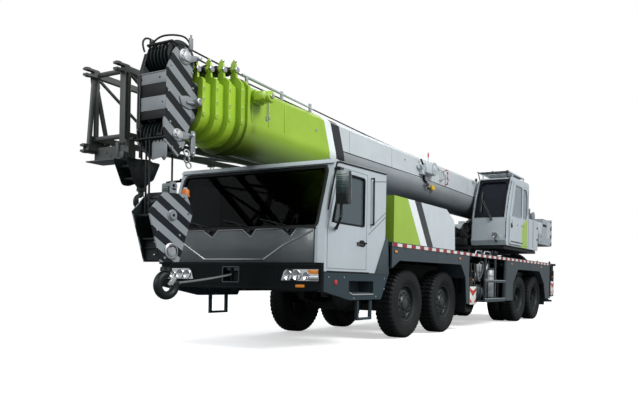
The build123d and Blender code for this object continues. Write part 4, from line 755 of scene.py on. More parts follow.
single, twin = singleWheel(), twinWheel()
for place, x in enumerate(carrierSize["axles"]):
    for side, out in sideNames:
        node = f"wheel_{place + 1}_{side}"
        wheel, middle = (single, tyreSize["frontMiddle"]) if place < 2 else (twin, tyreSize["rearMiddle"])
        spot = Matrix.Translation((x, out * middle, tyreSize["radius"]))
        turn = Matrix.Rotation(0 if out > 0 else pi, 4, "Z")
        made = placeWheel(f"road_{node}", wheel, spot @ turn, node)
        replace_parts(made, node)
spot = Matrix.Translation(tyreSize["spare"]) @ Matrix.Rotation(pi / 2, 4, "Z")
spare = placeWheel("spareTyre", single, spot, "carrier")
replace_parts(spare, "spare_wheel")
single.free()
twin.free()
print("wheels made")

# Cab: windscreen surround, front panel, wipers, lamps, doors' trim
cabSize = {"sill": (5.05, 0, 1.57), "rake": radians(-16.57), "side": 1.3305}


def tiltToScreen(bm):
    turn = Matrix.Rotation(cabSize["rake"], 3, "Y")
    bmesh.ops.rotate(bm, cent=cabSize["sill"], matrix=turn, verts=bm.verts)


bm = bmesh.new()
surround = [(-1.27, 1.548), (1.27, 1.548), (1.27, 2.43), (-1.27, 2.43)]
addPlate(bm, surround, "yz", 5.036, 5.058, corner=0.1, hollow=0.045, bevel=0.004, steps=6)
inner = [(-1.24, 1.58), (1.24, 1.58), (1.24, 2.404), (-1.24, 2.404)]
addPlate(bm, inner, "yz", 5.022, 5.026, corner=0.085, hollow=0.06, paint=1, steps=6)
addBox(bm, (5.04, -1.24, 1.548), (5.0575, 1.24, 1.60))
tiltToScreen(bm)
asPiece("windscreenSurround", bm, "carrier", "trim", "trim", "plastic")

# front panel with three wiper notches and its bright line
bm = bmesh.new()
notches = [(-0.642, -0.472, -0.372), (0.063, 0.209, 0.29), (0.707, 0.854, 0.952)]
outline = [(1.215, 1.128), (1.215, 1.548)]
for left, tip, right in reversed(notches):
    outline += [(right, 1.562), (tip, 1.462), (left, 1.562)]
outline += [(-1.215, 1.562), (-1.215, 1.128)]
addPlate(bm, outline, "yz", 5.046, 5.06, bevel=0.003)
addPlate(bm, [(-1.215, 1.13), (-1.215, 1.562), (1.215, 1.562), (1.215, 1.13)], "yz", 5.0505, 5.0525, paint=1)
for low, high in (((0.428, 1.165), (0.756, 1.354)), ((0.756, 1.354), (1.2, 1.53)),
                  ((-0.607, 1.165), (0.428, 1.165)),
                  ((-0.607, 1.165), (-0.95, 1.354)), ((-0.95, 1.354), (-1.2, 1.49))):
    addBar(bm, (5.056, *low), (5.056, *high), 0.0155, sides=8, paint=2)
for edge in (1.222, -1.222):
    addBox(bm, (5.046, edge - 0.003, 1.13), (5.0535, edge + 0.003, 1.56), paint=1)
rim = outline[-2:0:-1]  # the upper edge, without the feet
for a, b in zip(rim, rim[1:]):
    addBar(bm, (5.058, *a), (5.058, *b), 0.006, sides=6, paint=2)
asPiece("frontPanel", bm, "carrier", "panel_grey", "panel", "trim", "steel")

# wipers: an arm from each notch and a blade that lies low along the glass
bm = bmesh.new()
for tip in (-0.50, 0.20, 0.84):
    addBar(bm, (5.066, tip - 0.02, 1.535), (5.070, tip - 0.30, 1.655), 0.009, sides=8)
    addBar(bm, (5.05, tip - 0.02, 1.535), (5.080, tip - 0.02, 1.535), 0.022, sides=12, bevel=0.003)
    addBar(bm, (5.064, tip - 0.52, 1.70), (5.064, tip - 0.06, 1.600), 0.009, sides=8)
    addBar(bm, (5.068, tip - 0.38, 1.672), (5.068, tip - 0.22, 1.638), 0.012, sides=8)
tiltToScreen(bm)
asPiece("screenWipers", bm, "carrier", "trim", "plastic")

# roof edge, gutters, lifting eyes and the seams of the body
bm = bmesh.new()
addPlate(bm, [(4.84, 2.405), (4.795, 2.467), (4.70, 2.475), (4.70, 2.44)], "xz", -1.325, 1.325, bevel=0.008)
for out in (1, -1):
    addPlate(bm, [(3.46, 2.472), (3.46, 2.488), (4.70, 2.452), (4.755, 2.405), (4.72, 2.425), (4.68, 2.437)],
             "xz", out * 1.318, out * 1.344, paint=1)
    addBar(bm, (4.742, out * 1.336, 2.44), (4.93, out * 1.336, 1.80), 0.010, sides=6, paint=1)
    for x, y in ((4.52, out * 1.04), (3.62, out * 1.1)):
        addRing(bm, 0.026, 0.036, 0.006, (x, y, 2.525), (1, 0, 0), 20, paint=2)
        addBar(bm, (x, y, 2.47), (x, y, 2.5), 0.014, sides=12, paint=2)
asPiece("roofTrim", bm, "carrier", "cab_white", "white", "trim", "steel")

# side panels of the cab behind the doors
for side, out in sideNames:
    bm = bmesh.new()
    face = out * cabSize["side"]
    for a, b in (((3.455, 1.85), (3.93, 1.56)), ((3.46, 2.371), (3.835, 2.316)),
                 ((3.835, 2.316), (3.835, 1.70)), ((3.455, 1.915), (3.835, 1.69))):
        addBar(bm, (a[0], face, a[1]), (b[0], face, b[1]), 0.006, sides=6, paint=3)
    # seams around the door, dark at its foot
    seam = [(3.983, 1.06), (3.983, 2.382), (4.69, 2.382)]
    for a, b in zip(seam, seam[1:]):
        addBar(bm, (a[0], face - out * 0.001, a[1]), (b[0], face - out * 0.001, b[1]), 0.004, sides=6,
               paint=3)
    for a, b in (((4.927, 1.06), (4.927, 1.57)), ((4.927, 1.57), (4.69, 2.375))):
        addBar(bm, (a[0], face - out * 0.001, a[1]), (b[0], face - out * 0.001, b[1]), 0.005, sides=6,
               paint=3)
    addBox(bm, (3.90, face - out * 0.003, 1.012), (4.935, face + out * 0.004, 1.03), paint=2)
    addBar(bm, (3.983, face - out * 0.001, 1.063), (4.927, face - out * 0.001, 1.063), 0.004, sides=6,
           paint=3)
    # rear lower corner piece
    addPlate(bm, [(3.44, 1.56), (3.395, 1.50), (3.36, 1.006), (3.755, 1.006)], "xz", face, out * 1.352,
             bevel=0.006, paint=1)
    # grab handle
    for x, z in ((3.875, 2.35), (3.868, 1.70)):
        addBar(bm, (x, out * 1.32, z), (x, out * 1.375, z), 0.011, sides=10, paint=2)
    addBar(bm, (3.875, out * 1.375, 2.36), (3.868, out * 1.375, 1.69), 0.012, sides=12, paint=2)
    asPiece(f"cabFlank_{side}", bm, "carrier", "cab_white", "white", "charcoal", "trim", "seam")

# doors: seam, window rubber, handle, mirror shell
for side, out in sideNames:
    body = f"cab_door_{side}"
    bm = bmesh.new()
    window = [(4.037, 1.647), (4.806, 1.647), (4.637, 2.328), (4.037, 2.328)]
    addPlate(bm, window, "xz", out * 1.318, out * 1.336, corner=0.045, hollow=0.024, bevel=0.002)
    addPlate(bm, [(4.05, 1.66), (4.79, 1.66), (4.63, 2.315), (4.05, 2.315)], "xz", out * 1.286, out * 1.292,
             corner=0.04, hollow=0.02)
    # recessed handle
    addPlate(bm, [(4.00, 1.405), (4.055, 1.375), (4.15, 1.38), (4.185, 1.424), (4.15, 1.465), (4.055, 1.47)],
             "xz", out * 1.3285, out * 1.335, corner=0.02, bevel=0.002)
    addBar(bm, (4.01, out * 1.352, 1.428), (4.17, out * 1.352, 1.432), 0.012, sides=10, bevel=0.003)
    # mirror shell with its glass behind and ribs in front
    middle = out * 1.5315
    addPlate(bm, [(middle - 0.083, 1.867), (middle + 0.083, 1.867), (middle + 0.083, 2.288),
                  (middle - 0.083, 2.288)],
             "yz", 4.832, 4.929, corner=0.026, bevel=0.005, paint=2, steps=6)
    addPlate(bm, [(middle - 0.08, 1.90), (middle + 0.08, 1.90), (middle + 0.08, 2.25), (middle - 0.08, 2.25)],
             "yz", 4.828, 4.832, corner=0.025, paint=1)
    for place in range(6):
        z = 2.10 + place * 0.026
        addBox(bm, (4.928, middle - 0.074, z), (4.9315, middle + 0.074, z + 0.006), paint=0)
    addBox(bm, (4.70, out * 1.335, 2.335), (4.80, out * 1.40, 2.365), bevel=0.01)
    asPiece(f"doorTrim_{side}", bm, body, "trim", "trim", "chrome", "mirror")
    addWire(f"mirrorArm_{side}",
            [[(4.76, out * 1.34, 1.578), (4.765, out * 1.355, 1.582), (4.84, out * 1.44, 1.645),
              (4.905, out * 1.512, 1.70), (4.914, out * 1.52, 1.74), (4.914, out * 1.52, 1.89)],
             [(4.64, out * 1.345, 2.358), (4.66, out * 1.36, 2.356), (4.80, out * 1.445, 2.325),
              (4.905, out * 1.515, 2.30), (4.914, out * 1.52, 2.28), (4.90, out * 1.52, 2.22)]],
            0.0185, body, "trim", kind="NURBS")

# headlamps: bowls in a dark frame, turn light above, marker lamp below
lampSize = {"inner": 0.742, "outer": 1.352, "low": 0.888, "high": 1.048}
for side, out in sideNames:
    bm = bmesh.new()
    inner, outer = out * lampSize["inner"], out * lampSize["outer"]
    low, high = lampSize["low"], lampSize["high"]
    outline = [(inner, low), (outer, low), (outer, high), (out * 0.84, high), (out * 0.79, 1.02)]
    addPlate(bm, outline, "yz", 5.1105, 5.1135, corner=0.016, paint=0)
    addPlate(bm, outline, "yz", 5.112, 5.1235, corner=0.016, hollow=0.008, paint=1, bevel=0.002)
    for y, z, size in ((0.875, 0.962, 0.062), (1.01, 0.966, 0.066), (1.15, 0.955, 0.05)):
        bowl = [(0.012, -0.004), (size * 0.5, -0.002), (size * 0.85, 0.004), (size, 0.0095),
                (size * 0.94, 0.011), (size * 0.6, 0.002), (0.012, 0.0)]
        addLathe(bm, bowl, (5.1135, out * y, z), (1, 0, 0), steps=28, paint=0)
        addBall(bm, (5.118, out * y, z), size * 0.24, paint=2, squash=(0.3, 1, 1))
    for place in range(9):
        y = 1.195 + place * 0.016
        addBox(bm, (5.1135, out * y - 0.005, 0.90), (5.119, out * y + 0.005, 0.955), paint=0, bevel=0.002)
    addPlate(bm, [(out * 1.2, 0.985), (out * 1.335, 0.98), (out * 1.335, 1.035), (out * 1.17, 1.035)], "yz",
             5.1135, 5.121, corner=0.01, bevel=0.002, paint=3)
    addPlate(bm, [(out * 1.0, 0.812), (out * 1.135, 0.812), (out * 1.135, 0.848), (out * 1.0, 0.848)], "yz",
             5.1105, 5.13, corner=0.008, bevel=0.003, paint=3)
    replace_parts(asPiece(f"headlamp_{side}", bm, "carrier", "lens", "chrome", "trim", "lens", "amber"),
                "headlamps")

# bumper: seams, frame and back of the tow recess; valance: step bar and pocket, bolts, reflector, stirrup
bm = bmesh.new()
addBox(bm, (5.1085, -1.36, 1.098), (5.116, 1.36, 1.105), bevel=0.002, paint=1)
addBox(bm, (5.1085, -0.66, 0.80), (5.113, 0.66, 0.806), paint=1)
for y in (-0.68, 0.68):
    addBox(bm, (5.1085, y - 0.003, 0.80), (5.1125, y + 0.003, 1.098), paint=1)
addPlate(bm, [(-0.235, 0.856), (0.065, 0.856), (0.065, 1.074), (-0.235, 1.074)], "yz", 5.105, 5.118,
         corner=0.02, hollow=0.016, bevel=0.003, paint=0)
addBox(bm, (4.97, -0.30, 0.84), (4.978, 0.13, 1.09), paint=1)
asPiece("bumperTrim", bm, "carrier", "panel_grey", "charcoal", "trim")
for side, out in sideNames:
    bm = bmesh.new()
    face = out * carrierSize["half"]
    stepBar = [(4.472, out * 1.372, 0.755), (4.40, out * 1.378, 0.722), (3.86, out * 1.378, 0.722)]
    for a, b in zip(stepBar, stepBar[1:]):
        addBar(bm, a, b, 0.011, sides=10, paint=0)
    addBox(bm, (3.852, out * 1.15, 0.745), (4.478, out * 1.315, 0.75), paint=1)
    addBox(bm, (3.852, out * 1.14, 0.745), (4.478, out * 1.145, 0.905), paint=1)
    addBox(bm, (3.852, out * 1.15, 0.905), (4.478, out * 1.315, 0.91), paint=1)
    for x in (3.852, 4.478):
        addBox(bm, (x - 0.003, out * 1.14, 0.745), (x + 0.003, out * 1.315, 0.91), paint=1)
    for x, z in ((4.36, 0.675), (3.783, 0.69), (4.95, 0.95), (3.55, 0.95), (3.55, 0.80), (4.6, 0.95)):
        addBar(bm, (x, face, z), (x, face + out * 0.006, z), 0.011, sides=12, paint=0)
    addBar(bm, (4.795, face, 0.885), (4.795, face + out * 0.008, 0.885), 0.033, sides=24, paint=2,
           bevel=0.002)
    addBox(bm, (3.452, face - out * 0.001, 0.99), (4.98, face + out * 0.003, 0.996), paint=1)
    for x in (3.885, 4.195):
        addBox(bm, (x - 0.012, out * 1.33, 0.402), (x + 0.012, out * 1.352, 0.64), paint=1, bevel=0.003)
    for place in range(7):
        x = 3.89 + place * 0.05
        addBox(bm, (x, out * 1.318, 0.4), (x + 0.02, out * 1.353, 0.407), paint=0, bevel=0.002)
    asPiece(f"entryStep_{side}", bm, "carrier", "panel_grey", "step", "charcoal", "red")
print("cab made")

# Inside the cabs: seats with padded cushions and their frames, and the operator's side console
seatSize = {"x": 4.0, "columns": (0.70, -0.15, -0.75)}


def addPad(bm, low, high, crown, channels=()):
    bmesh.ops.create_cube(bm, size=2)
    bmesh.ops.subdivide_edges(bm, edges=bm.edges[:], cuts=15, use_grid_fill=True)
    size = [(b - a) / 2 for a, b in zip(low, high)]
    middle = [(a + b) / 2 for a, b in zip(low, high)]
    for vert in bm.verts:
        u, v, w = vert.co
        swell = (1 - u * u) * (1 - v * v)
        pull = 1 - 0.06 * abs(w) * (1 - swell)
        top = max(w, 0.0)
        groove = top * sum(0.010 * 2.72 ** (-((u - spot) / 0.07) ** 2) for spot in channels)
        sag = top * crown * (1 - swell) + top * 0.22 * size[2] * max(abs(u), abs(v)) ** 8
        vert.co = (middle[0] + u * size[0] * pull, middle[1] + v * size[1] * pull,
                   middle[2] + w * size[2] - sag - groove)


def asPad(name, bm, body):
    piece = asPiece(name, bm, body, "trim", "fabric", smooth=60)


for place, y in enumerate(seatSize["columns"]):
    x = seatSize["x"]
    bm = bmesh.new()
    addPad(bm, (x - 0.10, y - 0.238, 1.45), (x + 0.265, y + 0.238, 1.558), 0.02, channels=(-0.35, 0.35))
    asPad(f"seatCushion_{place + 1}", bm, "carrier")
    bm = bmesh.new()
    addPad(bm, (-0.02, -0.232, 0.0), (0.56, 0.232, 0.095), 0.016, channels=(-0.5, 0.0, 0.5))
    bmesh.ops.rotate(bm, cent=(0, 0, 0), matrix=Matrix.Rotation(radians(-98.2), 3, "Y"), verts=bm.verts)
    bmesh.ops.translate(bm, vec=(x - 0.135, y, 1.60), verts=bm.verts)
    asPad(f"seatBack_{place + 1}", bm, "carrier")
    bm = bmesh.new()
    addBox(bm, (x - 0.175, y - 0.155, 1.075), (x + 0.175, y + 0.155, 1.42), bevel=0.02)
    addBox(bm, (x - 0.235, y - 0.235, 1.421), (x + 0.262, y + 0.235, 1.449), bevel=0.01)
    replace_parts(asPiece(f"seatFrame_{place + 1}", bm, "carrier", "trim", "plastic"), "cab_seats")

bm = bmesh.new()
addBox(bm, (-3.345, 0.73, 1.915), (-3.005, 1.02, 2.21), bevel=0.02)
addBox(bm, (-3.425, 0.63, 2.212), (-2.935, 1.12, 2.236), bevel=0.01)
addBox(bm, (-2.555, 0.66, 1.915), (-2.405, 1.09, 2.445), bevel=0.02)
addBox(bm, (-3.145, 0.85, 1.915), (-2.56, 0.90, 1.972), bevel=0.006)
for y in (0.70, 1.05):
    addBar(bm, (-2.48, y, 2.44), (-2.50, y, 2.449), 0.03, sides=20, bevel=0.003)
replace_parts(asPiece("operatorSeatFrame", bm, "turntable", "trim", "plastic"), "operator_seat")
bm = bmesh.new()
addPad(bm, (-3.29, 0.63, 2.237), (-2.935, 1.12, 2.338), 0.018, channels=(-0.35, 0.35))
asPad("operatorCushion", bm, "turntable")
bm = bmesh.new()
addPad(bm, (0.0, -0.245, 0.0), (0.66, 0.245, 0.095), 0.016, channels=(-0.5, 0.0, 0.5))
bmesh.ops.rotate(bm, cent=(0, 0, 0), matrix=Matrix.Rotation(radians(-98.8), 3, "Y"), verts=bm.verts)
bmesh.ops.translate(bm, vec=(-3.335, 0.875, 2.345), verts=bm.verts)
asPad("operatorBack", bm, "turntable")
print("seats made")

# Deck and skirts: reflective tape, side markers, hoops, plates on the outriggers, service bay
deckSize = {"tape": (-5.60, 3.31), "markers": (3.204, 0.727, -2.323, -4.816)}
for side, out in sideNames:
    face = out * carrierSize["half"]
    bm = bmesh.new()
    addBox(bm, (deckSize["tape"][0], face - out * 0.002, 1.437),
           (deckSize["tape"][1], face + out * 0.0025, 1.487))
    asPiece(f"deckTape_{side}", bm, "carrier", "trim", "tape")
    bm = bmesh.new()
    for x in deckSize["markers"]:
        addBox(bm, (x - 0.045, face, 1.335), (x + 0.045, face + out * 0.003, 1.385), paint=1)
        addBox(bm, (x - 0.036, face, 1.342), (x + 0.036, face + out * 0.011, 1.378), bevel=0.003)
    asPiece(f"sideMarkers_{side}", bm, "carrier", "lens", "amber", "trim")
    # folded edges of the skirt, its seams and bolts
    bm = bmesh.new()
    for x in (0.245, 1.75, -1.965, -5.685, -3.75):
        addBox(bm, (x - 0.003, face - out * 0.002, 1.265 if x in (1.75, -3.75) else 0.535),
               (x + 0.003, face + out * 0.001, 1.435), paint=1)
    arches = (((3.05, 1.235), (0.66, 1.255), (0.415, 1.0), (0.355, 0.52)),
              ((-2.45, 0.54), (-2.465, 0.93), (-2.82, 1.255), (-4.67, 1.255), (-5.125, 0.92), (-5.275, 0.54)))
    for arch in arches:
        for a, b in zip(arch, arch[1:]):
            addBar(bm, (a[0], face - out * 0.006, a[1]), (b[0], face - out * 0.006, b[1]), 0.009, sides=8)
    addBox(bm, (-5.69, face - out * 0.002, 1.425), (3.315, face + out * 0.0015, 1.431), paint=1)
    for x in (2.9, 2.1, 1.3, 0.35, -2.1, -2.9, -3.6, -4.3, -5.5):
        addBar(bm, (x, face, 1.405), (x, face + out * 0.004, 1.405), 0.009, sides=6, paint=1)
    asPiece(f"skirtTrim_{side}", bm, "carrier", "panel_grey", "charcoal", "black")
    # hand hoops at the edge of the deck
    runs = []
    for rear, front, top in ((-0.487, -0.144, 1.555), (-1.009, -0.614, 1.562)):
        y = out * 1.345
        runs.append([(rear, y, 1.49), (rear + 0.004, y, top - 0.045), (rear + 0.045, y, top),
                     (front - 0.045, y, top), (front - 0.004, y, top - 0.045), (front, y, 1.49)])
    addWire(f"deckHoops_{side}", runs, 0.013, "carrier", "step")
print("deck edges made")

# chevron plates on the outrigger beams, with their lamps and the posts beside the jacks
for end, x, low, high, half in (("front", -0.016, 0.49, 0.84, 0.165), ("rear", -6.07, 0.63, 1.0, 0.165)):
    for side, out in sideNames:
        bm = bmesh.new()
        face = out * 1.356
        addBox(bm, (x - half, face - out * 0.004, low), (x + half, face, high), bevel=0.002)
        for turn in (-1, 1):
            edge = x + turn * (half - 0.008)
            addPlate(bm, [(x, high - 0.19), (edge, high - 0.09), (edge, high - 0.025), (x, high - 0.085)],
                     "xz", face, face + out * 0.0015, paint=1)
            addPlate(bm, [(x + turn * 0.045, low + 0.04), (edge, low + 0.04), (edge, low + 0.12)], "xz", face,
                     face + out * 0.0015, paint=1)
        addBox(bm, (x - half - 0.008, face - out * 0.012, low - 0.008),
               (x + half + 0.008, face - out * 0.005, high + 0.008), paint=2, bevel=0.002)
        for turn in (-1, 1):
            addBox(bm, (x + turn * 0.088 - 0.02, face - out * 0.01, low + 0.1),
                   (x + turn * 0.088 + 0.02, face - out * 0.03,
                    high + 0.46), paint=2, bevel=0.004)
        addBar(bm, (x + 0.02, face - out * 0.01, high + 0.13), (x + 0.02, face + out * 0.012, high + 0.13),
               0.020, sides=20, paint=3, bevel=0.003)
        for a, b in ((-0.06, 0.09), (0.06, 0.09), (-0.06, 0.3), (0.06, 0.3)):
            addBar(bm, (x + a, face - out * 0.01, high + b), (x + a, face + out * 0.004, high + b), 0.012,
                   sides=6, paint=4)
        if end == "rear":
            addBox(bm, (x - 0.17, face - out * 0.05, high), (x + 0.17, face - out * 0.032, 1.44), paint=2,
                   bevel=0.006)
            addBox(bm, (x - 0.19, face - out * 0.05, low - 0.05), (x - 0.17, face - out * 0.01, 1.30),
                   paint=2, bevel=0.006)
        asPiece(f"chevron_{end}_{side}", bm, f"beam_{end}_{side}", "trim", "board", "boardRed", "black",
                "amber", "steel")
        # jack head with its bolts, and a ring low on the barrel
        bm = bmesh.new()
        addBar(bm, (x, out * 1.2, 1.37), (x, out * 1.2, 1.418), 0.096, sides=32, bevel=0.006)
        for turn in range(8):
            angle = turn * pi / 4
            addBar(bm, (x + 0.075 * cos(angle), out * 1.2 + 0.075 * sin(angle), 1.41),
                   (x + 0.075 * cos(angle), out * 1.2 + 0.075 * sin(angle), 1.426), 0.009, sides=6, paint=1)
        addBar(bm, (x, out * 1.2, 0.52), (x, out * 1.2, 0.56), 0.097, sides=32, bevel=0.006)
        asPiece(f"jackCap_{end}_{side}", bm, f"beam_{end}_{side}", "frame_black", "black", "steel")
print("outriggers dressed")

# service bay: standing tank, straps and caps of the lying tanks, rail edges, pipes and hoses
for side, out in sideNames:
    bm = bmesh.new()
    centre = (-1.56, out * 1.1, 0)
    addLathe(bm, [(0.02, 0.60), (0.118, 0.60), (0.1285, 0.625), (0.1285, 1.185), (0.118, 1.215),
                  (0.06, 1.245), (0.02, 1.245)], centre, (0, 0, 1), steps=40)
    for z in (0.72, 1.07):
        addLathe(bm, [(0.128, z - 0.016), (0.1325, z - 0.016), (0.1325, z + 0.016), (0.128, z + 0.016)],
                 centre, (0, 0, 1), steps=40, paint=1)
    for x, y, z, radius, half in ((-1.06, 0.9, 0.7153, 0.175, 0.26), (-1.06, 0.9, 1.0803, 0.15, 0.24)):
        for place in (-0.6, 0.6):
            along = place * half
            addLathe(bm, [(radius, along - 0.018), (radius + 0.004, along - 0.018),
                          (radius + 0.004, along + 0.018),
                          (radius, along + 0.018)], (x, out * y, z), (1, 0, 0), steps=40, paint=1)
        addLathe(bm, [(radius * 0.3, half - 0.002), (radius * 0.94, half - 0.002),
                      (radius * 0.8, half + 0.02),
                      (radius * 0.3, half + 0.028)], (x, out * y, z), (1, 0, 0), steps=40, paint=2)
    # bright edges of the rails and the rungs between them
    for z in (0.59, 0.98):
        addBox(bm, (-1.96, out * 1.334, z - 0.006), (-0.655, out * 1.3722, z + 0.002), paint=3, bevel=0.002)
    for x in (-0.82, -1.44, -1.8):
        addBox(bm, (x - 0.012, out * 1.35, 0.585), (x + 0.012, out * 1.366, 0.93), paint=2, bevel=0.003)
    # valve block and filter bowls under the deck
    addBox(bm, (-0.66, out * 1.12, 1.14), (-0.46, out * 1.28, 1.28), paint=2, bevel=0.008)
    for x in (-0.42, -0.57):
        addLathe(bm, [(0.008, -0.13), (0.03, -0.125), (0.042, -0.1), (0.042, 0.0), (0.052, 0.0),
                      (0.052, 0.035), (0.008, 0.035)], (x, out * 1.27, 1.26), (0, 0, 1), steps=24, paint=0)
    for y in (1.16, 1.2, 1.24):
        addBar(bm, (-0.64, out * y, 1.28), (-0.64, out * y, 1.31), 0.014, sides=6, paint=1)
    asPiece(f"bayFittings_{side}", bm, "carrier", "bare_steel", "step", "steel", "black", "grey")
    runs = [[(-1.56, out * 1.1, 1.22), (-1.56, out * 1.1, 1.33), (-1.5, out * 1.13, 1.39),
             (-1.33, out * 1.17, 1.39), (-1.2, out * 1.2, 1.33), (-1.16, out * 1.2, 1.2)],
            [(-0.52, out * 1.27, 1.3), (-0.6, out * 1.29, 1.37), (-0.72, out * 1.29, 1.33),
             (-0.74, out * 1.27, 1.1), (-0.7, out * 1.2, 0.98)],
            [(-0.42, out * 1.28, 1.15), (-0.44, out * 1.29, 1.02), (-0.52, out * 1.28, 0.95),
             (-0.62, out * 1.25, 0.96)]]
    addWire(f"bayPipes_{side}", runs, 0.017, "carrier", "step", kind="NURBS")
    hoses = []
    for place in range(5):
        y = 1.0 + place * 0.05
        hoses.append([(-0.30, out * y, 1.36 - place * 0.01), (-0.55, out * (y + 0.03), 1.3 - place * 0.03),
                      (-0.9, out * y, 1.34), (-1.3, out * (y - 0.04), 1.31 + place * 0.015),
                      (-1.9, out * y, 1.36)])
    hoses += [[(-0.35, out * 1.3, 0.62), (-0.48, out * 1.32, 0.57), (-0.56, out * 1.3, 0.66),
               (-0.6, out * 1.28, 0.9)]]
    addWire(f"bayHoses_{side}", hoses, 0.012, "carrier", "trim", kind="NURBS")
    # mud flaps behind the arches
    bm = bmesh.new()
    for x, low in ((0.33, 0.34), (-5.30, 0.36)):
        addBox(bm, (x - 0.006, out * 0.90, low), (x + 0.006, out * 1.34, 0.70), bevel=0.003)
    asPiece(f"mudFlaps_{side}", bm, "carrier", "trim", "trim")
print("service bay made")

# hood: seams, latches and louvres
hoodSize = {"half": 1.33, "seams": (3.235, 1.93), "latches": (1.3, 1.7, 2.3, 2.9), "louvres": 9}
bm = bmesh.new()
for out in (1, -1):
    face = out * hoodSize["half"]
    for x in hoodSize["seams"]:
        addBox(bm, (x - 0.003, face - out * 0.001, 1.52), (x + 0.003, face + out * 0.0015, 2.15), paint=0)
    addBox(bm, (1.0, face - out * 0.001, 1.532), (3.235, face + out * 0.0015, 1.538), paint=0)
    for x in hoodSize["latches"]:
        addBox(bm, (x - 0.035, face, 1.60), (x + 0.035, face + out * 0.012, 1.64), paint=1, bevel=0.004)
for place in range(hoodSize["louvres"]):
    x = 1.5 + place * 0.075
    addBox(bm, (x, -0.62, 2.199), (x + 0.045, 0.62, 2.209), paint=0, bevel=0.003)
asPiece("hoodTrim", bm, "carrier", "trim", "trim", "plastic")

# deck top: tread strips, hatches, rings and the cable duct
bm = bmesh.new()
for y in (-1.12, 1.12):
    for x in (-1.3, -4.35, -5.2):
        addBox(bm, (x - 0.32, y - 0.2, 1.5), (x + 0.32, y + 0.2, 1.506), bevel=0.002)
        for place in range(8):
            addBox(bm, (x - 0.3 + place * 0.08, y - 0.18, 1.506), (x - 0.275 + place * 0.08, y + 0.18, 1.510),
                   paint=1)
for x in (0.55, -1.8, -5.6):
    for out in (1, -1):
        addRing(bm, 0.03, 0.044, 0.007, (x, out * 1.05, 1.53), (0, 1, 0), 24, paint=2)
        addBox(bm, (x - 0.05, out * 1.05 - 0.03, 1.5), (x + 0.05, out * 1.05 + 0.03, 1.508), paint=0)
addBox(bm, (-1.9, -0.3, 1.5), (0.9, -0.18, 1.56), paint=0, bevel=0.01)
addBox(bm, (-1.9, 0.18, 1.5), (0.9, 0.3, 1.54), paint=0, bevel=0.01)
asPiece("deckFittings", bm, "carrier", "panel_grey", "charcoal", "step", "steel")

# underside: driven shafts, differentials and air pots on the axles
bm = bmesh.new()
for x in carrierSize["axles"]:
    addLathe(bm, [(0.01, -0.24), (0.08, -0.235), (0.17, -0.13), (0.2, 0.0), (0.17, 0.13), (0.08, 0.235),
                  (0.01, 0.24)],
             (x, 0, 0.575), (0, 1, 0), steps=32, paint=0)
    for out in (1, -1):
        addBar(bm, (x - 0.16, out * 0.62, 0.50), (x - 0.28, out * 0.62, 0.52), 0.085, sides=24, paint=0,
               bevel=0.012)
for a, b in (((-3.06, 0, 0.58), (-0.2, 0, 0.68)), ((-4.4, 0, 0.58), (-3.55, 0, 0.58))):
    addBar(bm, a, b, 0.052, sides=20, paint=1, bevel=0.004)
    for end, other in ((a, b), (b, a)):
        run = (Vector(other) - Vector(end)).normalized()
        addBar(bm, end, Vector(end) + run * 0.09, 0.082, sides=20, paint=1, bevel=0.004)
asPiece("driveLine", bm, "carrier", "cast", "cast", "black")

# tail: cross bar, lamps and brackets
bm = bmesh.new()
addBox(bm, (-6.40, -1.22, 0.80), (-6.345, 1.22, 0.93), bevel=0.012)
for out in (1, -1):
    addBox(bm, (-6.36, out * 0.30, 0.86), (-6.345, out * 0.39, 1.2), bevel=0.004)
    addBox(bm, (-6.43, out * 0.78, 0.955), (-6.375, out * 1.22, 1.075), paint=1, bevel=0.008)
    for place, paint in enumerate((2, 3, 2, 4)):
        y = out * (0.845 + place * 0.105)
        addBar(bm, (-6.43, y, 1.015), (-6.446, y, 1.015), 0.042, sides=24, paint=paint, bevel=0.004)
    addBox(bm, (-6.41, out * 0.55, 0.93), (-6.36, out * 0.6, 1.04), paint=0, bevel=0.003)
    addBox(bm, (-6.385, out * 1.16, 0.88), (-6.345, out * 1.22, 1.0), paint=0, bevel=0.004)
asPiece("tailLamps", bm, "carrier", "frame_black", "black", "trim", "red", "amber", "lens")
bm = bmesh.new()
for out in (1, -1):
    addBox(bm, (-5.88, out * 1.30, 1.50), (-5.84, out * 1.34, 1.554), bevel=0.004)
    addBox(bm, (-6.33, out * 1.28, 1.46), (-6.30, out * 1.37, 1.5), bevel=0.004)
asPiece("deckPosts", bm, "carrier", "frame_black", "black")
print("tail made")

